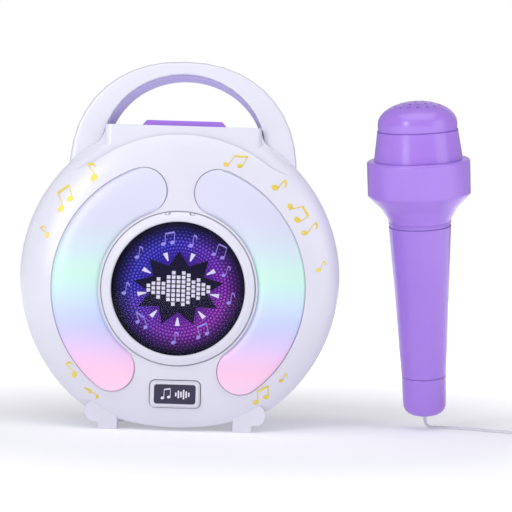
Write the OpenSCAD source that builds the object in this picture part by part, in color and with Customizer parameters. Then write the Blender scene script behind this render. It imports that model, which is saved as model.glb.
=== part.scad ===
// A toy karaoke machine: a round disc player in a two-part moulded case with a
// carrying handle, two light panels, a lens door over the disc, and a corded microphone.
// The machine stands on its feet at z = 0, its front faces -Y and the shells part at y = 0.
// The origin is on the surface, midway under the machine and its microphone.

/* [Case] */
// Radius of the round case
case_r = 94; // [90:1:98]
// Height of the case's centre above the surface
case_cz = 89; // [88:0.5:91]
// Depth from the parting plane to the flat of the front
front_depth = 33; // [32:0.5:36]
// Depth from the parting plane to the flat of the back
rear_depth = 36; // [35:0.5:38]
// Radius of the flat middle of the front
front_flat_r = 62; // [60:1:64]
// Depth of the straight side wall in front of the parting plane
front_side = 16; // [14:1:18]
// Radius of the rounded edge of the back
rear_round = 12; // [8:1:14]
// Wall of both shells
wall = 2.2; // [2:0.1:2.6]
// Radius of the shallow arch under the case
belly_r = 142; // [130:1:160]
// Gap between the middle of that arch and the surface
belly_gap = 2; // [1.5:0.5:3]

/* [Feet] */
// Distance of each foot from the middle
foot_x = 39.2; // [36:0.2:42]
// Width of a foot
foot_w = 11; // [9:0.5:13]
// Height of a foot below its bracket
foot_h = 4; // [3:0.5:4.5]
// Nearest depth of a foot to the parting plane
foot_near = 14; // [12:1:16]
// Depth of a foot, front to back
foot_long = 12; // [10:1:14]
// Radius of the bracket that carries a foot
bracket_r = 6.3; // [5.5:0.1:7]

/* [Handle] */
// Half width of the handle's outline
handle_a = 67; // [65:0.5:70]
// Half height of the handle's outline
handle_b = 65.7; // [64:0.5:68]
// Height of the outline's centre above the case's centre
handle_up = 61.8; // [60:0.5:64]
// Half width of the handle's opening
grip_a = 47.6; // [45:0.2:50]
// Half height of the handle's opening
grip_b = 44.1; // [42:0.1:45]
// Height of the opening's centre above the case's centre
grip_up = 75.2; // [74:0.2:77]
// Depth of the handle on each side of the parting plane
handle_half = 18; // [15:0.5:20]
// Rounding of the handle's edges
handle_round = 3; // [2:0.25:3.5]

/* [Shoulder] */
// Height of the shoulder's flat top above the case's centre
shoulder_up = 88.7; // [87:0.1:90]
// Half width of the shoulder at its top
shoulder_half = 45.6; // [44:0.1:47]
// How far the shoulder's sides flare out below the top
shoulder_flare = 6; // [4:0.5:8]
// Depth of the shoulder's face in front of the parting plane
shoulder_front = 26; // [24:0.5:27]
// Depth of the shoulder behind the parting plane
shoulder_rear = 22; // [20:0.5:24]
// Radius at which the front's dome ends below the shoulder's face
shoulder_rim = 83.5; // [82.5:0.5:85]
// Rounding of the shoulder's upright corners
shoulder_round = 4; // [3:0.5:5]

/* [Light panels] */
// Height of the centre of the door and the panels, from the case's centre
lamp_up = -6; // [-7:0.5:-5]
// Width of the land between the door and a panel
panel_land = 1.8; // [1.3:0.1:2.3]
// Half width of a panel
panel_half = 13.3; // [12.8:0.1:13.5]
// Angle from straight up to the upper end's centre
panel_from = 21; // [20:0.5:24]
// Angle from straight up to the lower end's centre
panel_to = 141.5; // [138:0.5:144]
// Height of a panel's crown above its rim
panel_crown = 2.8; // [2:0.1:3.5]
// Depth of a panel's rim from the parting plane
panel_rim = 31.6; // [31:0.1:32]
// Wall of a panel
panel_wall = 1.5; // [1.2:0.1:1.8]
// Gap round a panel
panel_gap = 0.5; // [0.3:0.1:0.6]

/* [Disc door] */
// Width of the door's ring
ring_w = 5.6; // [5.3:0.1:5.7]
// Gap between the ring and the case
ring_gap = 0.6; // [0.5:0.1:0.7]
// Radius of the clear window
window_r = 38.7; // [37.5:0.1:38.8]
// How far the ring's crest stands in front of the flat
ring_proud = 3; // [2.5:0.1:3.5]
// Height of the lens's dome
lens_dome = 3.4; // [2.5:0.1:4]
// Wall of the lens
lens_wall = 1.5; // [1.2:0.1:1.8]
// Radius of the hinge pin
hinge_pin_r = 0.75; // [0.6:0.05:0.8]
// Running clearance of the pin in its ears
pin_clear = 0.05; // [0.03:0.01:0.08]

/* [Disc] */
// Radius of the picture disc
disc_r = 40; // [39:0.1:40.4]
// Thickness of the disc
disc_t = 1.6; // [1.2:0.1:1.8]
// Radius of the spindle that carries the disc
spindle_r = 3; // [2.5:0.1:3.5]
// Radius of the turntable
table_r = 17; // [12:0.5:20]
// Radius of the motor's shaft
shaft_r = 1; // [0.8:0.1:1.2]
// Radius of the motor's can
motor_r = 12; // [10:0.5:13]
// Length of the motor's can
motor_len = 11; // [9:0.5:12]

/* [Keys] */
// Width of the front button's frame
button_w = 29.1; // [27:0.1:31]
// Height of the front button's frame
button_h = 15.6; // [14:0.1:16.5]
// Height of the button's centre from the case's centre
button_up = -67; // [-68:0.5:-66.5]
// Travel of the front button
button_travel = 1.2; // [0.8:0.1:1.4]
// Length of the top control panel
pad_len = 50; // [46:0.5:54]
// Depth of the top control panel
pad_deep = 24; // [22:0.5:26]
// Height of the control panel above the shoulder
pad_h = 4; // [3:0.25:4.5]
// Radius of a top key
key_r = 2.9; // [2.4:0.1:3.2]
// Distance between top keys
key_pitch = 8.2; // [8:0.1:8.6]
// Travel of a top key
key_travel = 0.8; // [0.5:0.1:1]

/* [Back] */
// Radius of the speaker
speaker_r = 27; // [24:0.5:29]
// Height of the speaker's centre from the case's centre
speaker_up = 24; // [22:1:28]
// Width of a grille slot
slot_w = 2.4; // [2:0.1:3]
// Distance between grille slots
slot_pitch = 5; // [4.5:0.1:6]
// Radius of a battery cell
cell_r = 7.1; // [7:0.05:7.25]
// Length of a battery cell
cell_len = 50.3; // [49.5:0.1:50.5]
// Height of the battery door's middle from the case's centre
battery_up = -50; // [-51:0.5:-48]
// Radius of the microphone socket's hole
jack_r = 1.8; // [1.75:0.01:1.85]
// Length of the microphone socket's hole
jack_len = 14; // [12:0.5:16]
// Radius of a case screw
screw_r = 1.5; // [1.2:0.1:1.6]

/* [Microphone] */
// Height of the microphone's head above its wide collar
head_h = 34.7; // [33:0.1:37]
// Radius of the microphone's wide collar
collar_r = 30.5; // [29:0.5:32]
// Height of that collar's upper edge above the neck
collar_h = 37.3; // [36:0.1:39]
// Height of that collar's straight band
collar_band = 21; // [18:0.5:24]
// Radius of the grip at its neck
neck_r = 18.6; // [17:0.1:20]
// Height of the neck from the tail
neck_h = 119; // [116:1:122]
// Radius of the grip at its tail seam
tail_r = 13.5; // [12.5:0.1:14]
// Height of the tail seam
tail_h = 24.3; // [20:0.1:28]
// Radius of the crown at its foot
crown_r = 23.4; // [22:0.1:24.5]
// Height of the crown piece
crown_h = 17; // [16:0.5:18]
// Wall of the microphone's mouldings
mic_wall = 1.8; // [1.5:0.1:2.2]
// Radius of a sound hole
sound_hole_r = 0.9; // [0.7:0.05:1]
// Tilt of the microphone's head towards the front
mic_tilt = 10.7; // [8:0.1:12]
// Lean of the microphone's head towards the machine
mic_lean = 4.35; // [3:0.05:5]

/* [Cord] */
// Diameter of the microphone's cord
cord_d = 2; // [1.8:0.1:2.2]
// Mean diameter of the put-away coil
coil_mean = 24; // [22:0.5:26]
// Turns in each of the coil's two layers
coil_turns = 6; // [5:1:6]
// Gap between neighbouring turns
coil_gap = 0.45; // [0.42:0.01:0.5]
// Thickness of the tie round the coil
tie_t = 0.7; // [0.5:0.1:0.8]
// Radius of the plug's moulding
plug_r = 4.2; // [3.8:0.1:4.6]

/* [Hidden] */
$fn = 72;
e = 0.01;
// Clearance that seats one piece on another
seat = 0.3;
machine_x = -38;
// What follows from the sizes above
ring_r = window_r + ring_w;
panel_r = ring_r + ring_gap + panel_land + panel_half;
collar_top = neck_h + collar_h;
mic_len = collar_top + head_h;

// Colours as photographed
white_abs = [0.87, 0.86, 0.94];
frost = [0.8, 0.93, 0.93];
purple = [0.66, 0.5, 0.88];
pale_purple = [0.69, 0.55, 0.9];
navy = [0.16, 0.13, 0.34];
steel = [0.72, 0.73, 0.76];
board_green = [0.1, 0.4, 0.25];
black = [0.12, 0.12, 0.14];

// x, up and forward: a frame on the case's axis, whose third direction faces the viewer
module face_frame() translate([machine_x, 0, case_cz]) rotate([90, 0, 0]) children();
module lamp_frame() face_frame() translate([0, lamp_up, 0]) children();
// The lie of the microphone: its tail's middle, then its tilt and lean
mic_at = [112.7, 19, 10.2];
module mic_frame() translate(mic_at) rotate([mic_tilt, -mic_lean, 0]) children();

function arc(c, a, b, from, to, n) =
    [for (i = [0:n]) let (t = from + (to - from) * i / n) c + [a * cos(t), b * sin(t)]];

// Case

edge_a = case_r - front_flat_r;
edge_b = front_depth - front_side;
function front_profile(inset) = concat([[0, 0], [case_r - inset, 0]],
    arc([front_flat_r, front_side], edge_a - inset, edge_b - inset, 0, 90, 14),
    [[0, front_depth - inset]]);
function rear_profile(inset) = concat([[0, 0], [case_r - inset, 0]],
    arc([case_r - rear_round - 2, rear_depth - rear_round], rear_round + 2 - inset,
        rear_round - inset, 0, 90, 8), [[0, rear_depth - inset]]);

module underside(inset) intersection() {
    translate([0, belly_gap + belly_r - case_cz, -rear_depth - 1])
        cylinder(h = front_depth + rear_depth + 2, r = belly_r - inset, $fn = 144);
    translate([-case_r - 1, -case_r - 1, -rear_depth - 2])
        cube([2 * case_r + 2, case_r + 1 + shoulder_up - inset, front_depth + rear_depth + 4]);
}
module front_drum(inset) difference() {
    intersection() {
        rotate_extrude($fn = 144) polygon(front_profile(inset));
        underside(inset);
    }
    // The dome stops below the shoulder, whose face is flat
    half = shoulder_half + shoulder_flare + inset;
    translate([0, 0, shoulder_front - inset]) difference() {
        translate([-half, 50, 0]) cube([2 * half, case_r, 20]);
        translate([0, 0, -1]) cylinder(h = 22, r = shoulder_rim - inset, $fn = 144);
    }
}
module rear_drum(inset) intersection() {
    mirror([0, 0, 1]) rotate_extrude($fn = 144) polygon(rear_profile(inset));
    underside(inset);
}

// One foot with the rounded bracket that carries it
module foot(side, depth) {
    top = -case_cz + 16;
    bracket_x = foot_x + foot_w / 2 + 1.8;
    translate([0, 0, depth]) linear_extrude(foot_long) {
        translate([side * bracket_x, foot_h + bracket_r - case_cz]) circle(bracket_r);
        inner = foot_x - foot_w / 2;
        translate([side > 0 ? inner : -bracket_x, foot_h - case_cz])
            square([bracket_x - inner, top + case_cz - foot_h]);
        translate([side * foot_x - foot_w / 2, -case_cz]) square([foot_w, foot_h + e]);
    }
}

// Half of the handle, lofted between its outline and its opening, with rounded edges
handle_steps = 24;
handle_end = 102;
squareness = 2.2;
function signed_pow(v, p) = sign(v) * pow(abs(v), p);
function handle_outer(t) = [handle_a * signed_pow(sin(t), 2 / squareness),
    handle_up + handle_b * signed_pow(cos(t), 2 / squareness)];
function handle_inner(t) = [grip_a * sin(t), grip_up + grip_b * cos(t)];
function handle_section(t, depth) = let (
    in = handle_inner(t),
    out = handle_outer(t),
    span = norm(out - in),
    dir = (out - in) / span,
    r = min(handle_round, span / 2 - 0.2),
    flat = concat([[0, 0]], arc([r, depth - r], r, r, 180, 90, 2),
        arc([span - r, depth - r], r, r, 90, 0, 2), [[span, 0]])
) [for (p = flat) [in[0] + dir[0] * p[0], in[1] + dir[1] * p[0], p[1]]];
module loft(rings) {
    n = len(rings[0]);
    m = len(rings);
    polyhedron(points = [for (r = rings) for (p = r) p], faces = concat(
        [[for (j = [n - 1:-1:0]) j]],
        [for (i = [0:m - 2]) for (j = [0:n - 1]) let (k = (j + 1) % n)
            [i * n + j, i * n + k, (i + 1) * n + j]],
        [for (i = [0:m - 2]) for (j = [0:n - 1]) let (k = (j + 1) % n)
            [i * n + k, (i + 1) * n + k, (i + 1) * n + j]],
        [[for (j = [0:n - 1]) (m - 1) * n + j]]));
}
module handle_half_solid() {
    loft([for (i = [0:handle_steps])
        handle_section(handle_end * (2 * i / handle_steps - 1), handle_half)]);
}

// The flat-topped shoulder between the handle's arms, from depth back to depth front
module shoulder(back, front) {
    drop = 12;
    low = shoulder_half + shoulder_flare;
    side = arc([low + 2, shoulder_up], shoulder_flare + 2, drop, 180, 255, 5);
    outline = concat(side, [[low, shoulder_up - 26]]);
    intersection() {
        translate([0, 0, back]) linear_extrude(front - back)
            polygon(concat(outline, [for (i = [len(outline) - 1:-1:0]) [-outline[i][0], outline[i][1]]]));
        translate([0, shoulder_up + 1, 0]) rotate([90, 0, 0]) linear_extrude(50) shoulder_plan();
    }
}
module shoulder_plan() {
    r = shoulder_round;
    x = shoulder_half;
    difference() {
        translate([-x - shoulder_flare, -shoulder_rear])
            square([2 * (x + shoulder_flare), shoulder_rear + shoulder_front]);
        for (s = [-1, 1]) translate([s * (x - r), shoulder_front - r]) difference() {
            translate([s > 0 ? 0 : -r - shoulder_flare - 1, 0])
                square([r + shoulder_flare + 1, r + 1]);
            circle(r);
        }
    }
}

// Bosses and screws that hold the shells together
boss_at = [[74, 39], [-74, 39], [66, -50], [-66, -50], [0, 76]];
boss_outer = screw_r + 2.2;
screw_len = 18;
screw_seat = -12;
module at_bosses() for (p = boss_at) translate([p[0], p[1], 0]) children();

// Front shell

// The plan of a light panel, grown by some gap. Its round ends are a hair narrower than its sides
end_step = 0.05;
module panel_plan(grow) {
    half = panel_half + grow;
    from = 90 - panel_to;
    to = 90 - panel_from;
    difference() {
        circle(panel_r + half, $fn = 144);
        circle(panel_r - half, $fn = 144);
        rotate(to) translate([-300, 0]) square([600, 300]);
        rotate(from) translate([-300, -300]) square([600, 300]);
    }
    for (a = [from, to]) rotate(a) translate([panel_r, 0]) circle(half - end_step);
}
module rounded(w, h, r) {
    square([w - 2 * r, h], center = true);
    square([w, h - 2 * r], center = true);
    for (x = [-1, 1], y = [-1, 1]) translate([x * (w / 2 - r), y * (h / 2 - r)]) circle(r);
}
button_round = 3;
button_gap = 0.4;
button_back = 27.2;
flange_w = 1.2;
flange_t = 1.3;
collar_wall = 1.3;
pad_ledge = 3;
pad_hole_half = pad_len / 2 - 3;

module front_shell() color(white_abs) face_frame() difference() {
    union() {
        difference() {
            union() {
                front_drum(0);
                handle_half_solid();
                shoulder(0, shoulder_front);
                for (s = [-1, 1]) foot(s, foot_near);
            }
            front_drum(wall);
        }
        pad_seat(0, pad_back + pad_deep + seat + 3);
        intersection() {
            at_bosses() cylinder(h = front_depth, r = boss_outer, $fn = 32);
            front_drum(wall / 2);
        }
        translate([0, lamp_up, led_board_top])
            cylinder(h = front_depth - led_board_top, r = ring_r + ring_gap + collar_wall, $fn = 144);
    }
    pad_room(1);
    translate([0, lamp_up, -1]) cylinder(h = 60, r = ring_r + ring_gap, $fn = 144);
    translate([0, lamp_up, 20]) for (s = [0, 1]) mirror([s, 0, 0])
        linear_extrude(20) panel_plan(panel_gap);
    translate([0, button_up, 20]) linear_extrude(20)
        rounded(button_w + 2 * button_gap, button_h + 2 * button_gap, button_round + button_gap);
    translate([0, button_up, front_side]) linear_extrude(button_back + flange_t + pin_clear - front_side)
        rounded(button_w + 2 * flange_w + 2 * button_gap, button_h + 2 * flange_w + 2 * button_gap,
            button_round + flange_w + button_gap);
    at_bosses() translate([0, 0, -1]) cylinder(h = screw_len + screw_seat + 3, r = screw_r, $fn = 32);
}

// The well in the shoulder that takes the control panel and its keys, and the block round it
pad_back = -10;
module pad_seat(back, front) {
    low = shoulder_up - pad_ledge - wall;
    translate([-pad_len / 2 - 3, low, back]) cube([pad_len + 6, pad_ledge + wall / 2, front - back]);
}
module pad_room(side) {
    front = pad_back + pad_deep;
    near = side > 0 ? 0 : pad_back - seat;
    far = side > 0 ? front + seat + 1 : 1;
    translate([-pad_len / 2 - seat, shoulder_up - pad_ledge, near])
        cube([pad_len + 2 * seat, pad_ledge + 1, far - near]);
    inner_near = side > 0 ? 0 : pad_back + 2;
    inner_far = side > 0 ? front - 1 : 1;
    translate([-pad_hole_half, shoulder_up - pad_ledge - wall - 1, inner_near])
        cube([2 * pad_hole_half, pad_ledge + wall + 1, inner_far - inner_near]);
}

// Rear shell

bay_w = cell_len + 8.4;
bay_h = 6 * cell_r + 4;
bay_back = -rear_depth + 3;
bay_front = bay_back - e + 2 * cell_r + 3;
bay_wall = 1.6;
door_t = 2;
door_w = bay_w + 4;
door_h = bay_h + 4;
switch_at = [52, -4];
switch_travel = 4;
jack_at = [56, -26];
jack_nose = 3;

module slots() {
    n = floor(speaker_r * 0.86 / slot_pitch);
    for (i = [-n:n]) {
        half = sqrt(pow(speaker_r * 0.9, 2) - pow(i * slot_pitch, 2)) - slot_w / 2;
        translate([0, i * slot_pitch]) {
            square([2 * half, slot_w], center = true);
            for (s = [-1, 1]) translate([s * half, 0]) circle(slot_w / 2, $fn = 16);
        }
    }
}
module rear_shell() color(white_abs) face_frame() difference() {
    union() {
        difference() {
            union() {
                rear_drum(0);
                mirror([0, 0, 1]) handle_half_solid();
                shoulder(-shoulder_rear, 0);
                for (s = [-1, 1]) foot(s, -foot_near - foot_long);
            }
            rear_drum(wall);
        }
        pad_seat(pad_back - seat - 3, 0);
        intersection() {
            at_bosses() translate([0, 0, -rear_depth]) cylinder(h = rear_depth, r = boss_outer + 1.6, $fn = 32);
            rear_drum(wall / 2);
        }
        translate([-bay_w / 2 - bay_wall, battery_up - bay_h / 2 - bay_wall, -rear_depth + wall / 2])
            cube([bay_w + 2 * bay_wall, bay_h + 2 * bay_wall, bay_front + bay_wall + rear_depth - wall / 2]);
        translate([-door_w / 2 - bay_wall, battery_up - door_h / 2 - bay_wall, -rear_depth + wall / 2])
            cube([door_w + 2 * bay_wall, door_h + 2 * bay_wall, wall / 2 + bay_wall]);
        for (s = [-1, 1]) translate([s * 22, battery_up + 12, bay_front])
            cylinder(h = board_back - bay_front, r = 2.2, $fn = 24);
        translate([0, speaker_up, -rear_depth + wall / 2]) difference() {
            cylinder(h = 5, r = speaker_r + seat + 1.5);
            translate([0, 0, -1]) cylinder(h = 7, r = speaker_r + seat);
        }
    }
    pad_room(-1);
    translate([0, 0, -rear_depth - 1]) {
        translate([0, speaker_up, 0]) linear_extrude(10) slots();
        translate([-bay_w / 2, battery_up - bay_h / 2, 0])
            cube([bay_w, bay_h, bay_front + rear_depth + 1]);
        translate([-door_w / 2 - seat, battery_up - door_h / 2 - seat, 0])
            cube([door_w + 2 * seat, door_h + 2 * seat, 1 + door_t + 0.2]);
        translate([jack_at[0], jack_at[1], 0]) cylinder(h = 10, r = jack_nose + 0.1, $fn = 32);
        translate([switch_at[0] - 5.5, switch_at[1] - 2.4, 0]) cube([11, 4.8, 10]);
    }
    at_bosses() {
        translate([0, 0, -rear_depth - 1]) cylinder(h = rear_depth + 1 + screw_seat, r = 2 * screw_r + 0.4, $fn = 32);
        translate([0, 0, -rear_depth]) cylinder(h = rear_depth + 1, r = screw_r + 0.2, $fn = 32);
    }
}

module case_screws() color(steel) face_frame() at_bosses() {
    difference() {
        translate([0, 0, screw_seat - 2]) cylinder(h = 2, r = 2 * screw_r, $fn = 32);
        for (a = [0, 90]) rotate(a) translate([-1.6, -0.3, screw_seat - 2 - e]) cube([3.2, 0.6, 1]);
    }
    translate([0, 0, screw_seat - e]) cylinder(h = screw_len, r = screw_r - 0.05, $fn = 32);
}

// Light panels and what lights them

panel_base = 26;
post_angles = [66, 10, -48];
led_board_top = 21.6;
board_t = 1.6;
// Points of a panel's crest, over its width
function panel_crest(inset) =
    arc([0, panel_rim], panel_half - inset, panel_crown - inset, 180, 0, 16);
module panel_lid(inset) intersection() {
    translate([0, 0, panel_base - (inset > 0 ? 1 : 0)]) linear_extrude(20) panel_plan(-inset);
    rotate_extrude($fn = 144) translate([panel_r, 0]) polygon(concat([[-panel_half - 2, 0],
        [-panel_half - 2, panel_rim]], panel_crest(inset), [[panel_half + 2, panel_rim], [panel_half + 2, 0]]));
}
module light_panel() {
    difference() {
        panel_lid(0);
        panel_lid(panel_wall);
    }
    for (a = post_angles) rotate(a) translate([panel_r, 0, led_board_top])
        cylinder(h = panel_rim + panel_crown - panel_wall / 2 - led_board_top, r = 2, $fn = 24);
}
module right_light_panel() color(frost) lamp_frame() light_panel();
module left_light_panel() color(frost) lamp_frame() mirror([1, 0, 0]) light_panel();

// A board bears on the back of the collar round the door
board_near = ring_r + ring_gap + 0.3;
board_half = 8;
module led_board() rotate(90 - panel_to) rotate_extrude(angle = panel_to - panel_from, $fn = 96)
    translate([board_near, led_board_top - board_t]) square([panel_r + board_half - board_near, board_t]);
module right_led_board() color(board_green) lamp_frame() led_board();
module left_led_board() color(board_green) lamp_frame() mirror([1, 0, 0]) led_board();
led_angles = [56, 36, 0, -18, -35];
module panel_leds() color("white") lamp_frame() for (s = [0, 1]) mirror([s, 0, 0])
    for (a = led_angles) rotate(a) translate([panel_r - 2.5, -2.5, led_board_top])
        cube([5, 5, board_t]);

// Disc door

door_back = 30.5;
ring_lip = front_depth + ring_proud;
pin_up = ring_r - 1.9;
pin_front = 33.2;
pin_half = 10;
ear_x = 7;
ear_t = 2.4;
ear_r = 1.4;
lens_seat = door_back + 3.1;
module door_ring() color(white_abs) lamp_frame() difference() {
    rotate_extrude($fn = 144) polygon([[window_r + 1.3, door_back], [ring_r, door_back],
        [ring_r, ring_lip - 2.1], [ring_r - 0.4, ring_lip - 1.4], [ring_r - 1.6, ring_lip - 0.9],
        [ring_r - 3, ring_lip - 0.15], [ring_r - 3.8, ring_lip], [window_r + 0.5, ring_lip - 0.3],
        [window_r, ring_lip - 0.9], [window_r, lens_seat], [window_r + 1.3, lens_seat]]);
    translate([-pin_half, pin_up, pin_front]) rotate([0, 90, 0])
        cylinder(h = 2 * pin_half, r = hinge_pin_r, $fn = 24);
    for (s = [-1, 1]) translate([s * ear_x - ear_t / 2 - seat, 0, 0]) {
        translate([0, pin_up, pin_front]) rotate([0, 90, 0])
            cylinder(h = ear_t + 2 * seat, r = ear_r + seat, $fn = 24);
        translate([0, pin_up - ear_r - seat, door_back - 1])
            cube([ear_t + 2 * seat, 10, pin_front + 0.8 - door_back + 1]);
    }
}
module door_lens() color([0.8, 0.85, 0.95, 0.3]) lamp_frame() {
    rim = window_r - seat;
    low = lens_seat - lens_wall;
    rise = lens_dome;
    rotate_extrude($fn = 144) polygon(concat([[0, lens_seat + rise]],
        [for (i = [0:10]) let (r = rim * i / 10) [r, lens_seat + rise * (1 - pow(i / 10, 2))]],
        [[window_r + 1.3 - 0.1, lens_seat], [window_r + 1.3 - 0.1, low]],
        [for (i = [10:-1:0]) let (r = (rim - 1) * i / 10) [r, low + rise * (1 - pow(i / 10, 2))]]));
}
module door_pin() color(steel) lamp_frame() translate([-pin_half + seat, pin_up, pin_front])
    rotate([0, 90, 0]) cylinder(h = 2 * (pin_half - seat), r = hinge_pin_r, $fn = 24);

// Disc and drive

tray_rim = 29.5;
tray_floor = 23.4;
table_top = 26;
disc_back = table_top;
disc_front = 29.2;
well_r = disc_r + 0.9;
hub_hole_r = table_r + 1;
module disc_tray() color(white_abs) lamp_frame() {
    difference() {
        translate([0, 0, tray_floor - 1.6])
            cylinder(h = tray_rim - tray_floor + 1.6, r = ring_r + ring_gap, $fn = 144);
        translate([0, 0, tray_floor]) cylinder(h = 20, r = well_r, $fn = 144);
        cylinder(h = 40, r = spindle_r + 0.4, $fn = 48);
    }
    for (s = [-1, 1]) translate([s * ear_x - ear_t / 2, pin_up, 0]) difference() {
        union() {
            translate([0, 0, pin_front]) rotate([0, 90, 0]) cylinder(h = ear_t, r = ear_r, $fn = 24);
            translate([0, -0.8, tray_rim - 0.5]) cube([ear_t, 1.6, pin_front - tray_rim + 0.5]);
        }
        translate([-1, 0, pin_front]) rotate([0, 90, 0])
            cylinder(h = ear_t + 2, r = hinge_pin_r + pin_clear, $fn = 24);
    }
}
module music_disc() color(navy) lamp_frame() difference() {
    union() {
        translate([0, 0, disc_front - disc_t]) cylinder(h = disc_t, r = disc_r, $fn = 144);
        translate([0, 0, disc_back]) cylinder(h = disc_front - disc_back - e, r = spindle_r + 3);
    }
    translate([0, 0, disc_back - 1]) cylinder(h = 3.2, r = spindle_r + 0.05);
}
module turntable() color(black) lamp_frame() difference() {
    union() {
        translate([0, 0, table_top - 1.4]) cylinder(h = 1.4, r = table_r);
        cylinder(h = table_top + 1.8, r = spindle_r);
    }
    translate([0, 0, -1]) cylinder(h = table_top, r = shaft_r);
    translate([0, 0, -1]) cylinder(h = tray_floor - 1.6 - 0.4 + 1, r = spindle_r + 1);
}
motor_top = tray_floor - 1.6;
module motor_shaft() color(steel) lamp_frame()
    translate([0, 0, motor_top - 4]) cylinder(h = table_top - 1 - motor_top + 4, r = shaft_r, $fn = 32);
module spindle_motor() color(steel) lamp_frame() difference() {
    translate([0, 0, motor_top - motor_len]) cylinder(h = motor_len, r = motor_r);
    translate([0, 0, motor_top - 4.5]) cylinder(h = 6, r = shaft_r + pin_clear, $fn = 32);
    translate([0, 0, motor_top - 0.6]) cylinder(h = 2, r = spindle_r + 0.6, $fn = 32);
}

// Front button

button_face = front_depth + 1.2;
module music_button() color(white_abs) face_frame() translate([0, button_up, 0]) {
    difference() {
        union() {
            translate([0, 0, button_back]) linear_extrude(flange_t)
                rounded(button_w + 2 * flange_w, button_h + 2 * flange_w, button_round + flange_w);
            translate([0, 0, button_back]) linear_extrude(button_face - button_back - 0.8)
                rounded(button_w, button_h, button_round);
            translate([0, 0, button_back]) linear_extrude(button_face - button_back)
                rounded(button_w - 1.6, button_h - 1.6, button_round - 0.8);
        }
        translate([0, 0, button_face - 0.6]) linear_extrude(2)
            rounded(button_w - 5.2, button_h - 4.5, 1.4);
        translate([0, 0, 20]) linear_extrude(button_face - 1.8 - 20)
            rounded(button_w - 3.2, button_h - 3.2, button_round - 1.6);
    }
    for (s = [-1, 1]) translate([s * (button_w / 2 - 4), 0, 24]) linear_extrude(button_face - 1.7 - 24)
        square([4, 3], center = true);
}
module button_plate() color(navy) face_frame() translate([0, button_up, button_face - 0.6])
    linear_extrude(0.9) rounded(button_w - 5.4, button_h - 4.7, 1.3);

// Control panel on the shoulder

pad_top = shoulder_up + pad_h;
pad_skin = 1.6;
key_flange = 0.8;
key_proud = 0.6;
key_depth = 1;
module control_panel() color(purple) face_frame() difference() {
    half = pad_len / 2;
    translate([0, 0, pad_back]) linear_extrude(pad_deep) polygon([[-half, shoulder_up - pad_ledge],
        [half, shoulder_up - pad_ledge], [half, shoulder_up + 0.8], [half - 2.7, pad_top],
        [2.7 - half, pad_top], [-half, shoulder_up + 0.8]]);
    translate([-pad_hole_half, shoulder_up - 20, pad_back + 3])
        cube([2 * pad_hole_half, 20 + pad_h - pad_skin, pad_deep - 6]);
    for (i = [-2:2]) translate([i * key_pitch, shoulder_up, key_depth]) rotate([-90, 0, 0])
        cylinder(h = 20, r = key_r + 0.2, $fn = 32);
}
key_low = pad_top - pad_skin - 1.1;
module key(i) color(white_abs) face_frame() translate([(i - 3) * key_pitch, 0, key_depth])
    rotate([-90, 0, 0]) {
        translate([0, 0, key_low]) cylinder(h = pad_top + key_proud - key_low, r = key_r, $fn = 32);
        translate([0, 0, key_low]) cylinder(h = 1, r = key_r + key_flange, $fn = 32);
    }
module key_1() key(1);
module key_2() key(2);
module key_3() key(3);
module key_4() key(4);
module key_5() key(5);
key_board_top = key_low - key_travel - seat;
module key_board() color(board_green) face_frame() {
    translate([-pad_hole_half, key_board_top - board_t, pad_back + 3 + seat])
        cube([2 * pad_hole_half, board_t, pad_deep - 6 - 2 * seat]);
}

// Back

module speaker_basket() color(black) face_frame() translate([0, speaker_up, -rear_depth + wall]) {
    rotate_extrude($fn = 96) polygon([[speaker_r - 4, 0], [speaker_r, 0], [speaker_r, 2],
        [speaker_r - 3, 3], [14, 13], [10, 13], [10, 11.6], [13.6, 11.6], [speaker_r - 4.6, 2.4],
        [speaker_r - 4, 1.4]]);
}
module speaker_cone() color([0.25, 0.24, 0.3]) face_frame() translate([0, speaker_up, -rear_depth + wall]) {
    rotate_extrude($fn = 96) polygon([[0, 4.4], [5, 5.4], [7.6, 8.4], [speaker_r - 7, 1.6],
        [speaker_r - 4, 0.8], [speaker_r - 4, 1.3], [speaker_r - 6.8, 2.3], [7.6, 9.4],
        [4.4, 6.2], [0, 5.2]]);
}
module speaker_magnet() color(steel) face_frame() translate([0, speaker_up, -rear_depth + wall + 13]) {
    cylinder(h = 1.4, r = 12.5);
    translate([0, 0, 1.4 - e]) cylinder(h = 4.6, r = 11.5);
    translate([0, 0, 6 - e]) cylinder(h = 1.2, r = 12.5);
}
cell_mid = bay_back + 0.4 + cell_r;
cell_pitch = 2 * cell_r + 0.9;
module battery_cells() color([0.3, 0.55, 0.4]) face_frame()
    for (i = [-1:1]) translate([0, battery_up + i * cell_pitch, cell_mid])
        rotate([0, i == 0 ? -90 : 90, 0]) {
            translate([0, 0, -cell_len / 2]) cylinder(h = cell_len - 1.4, r = cell_r, $fn = 48);
            translate([0, 0, cell_len / 2 - 1.4 - e]) cylinder(h = 1.4, r = 2.6, $fn = 32);
        }
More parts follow.
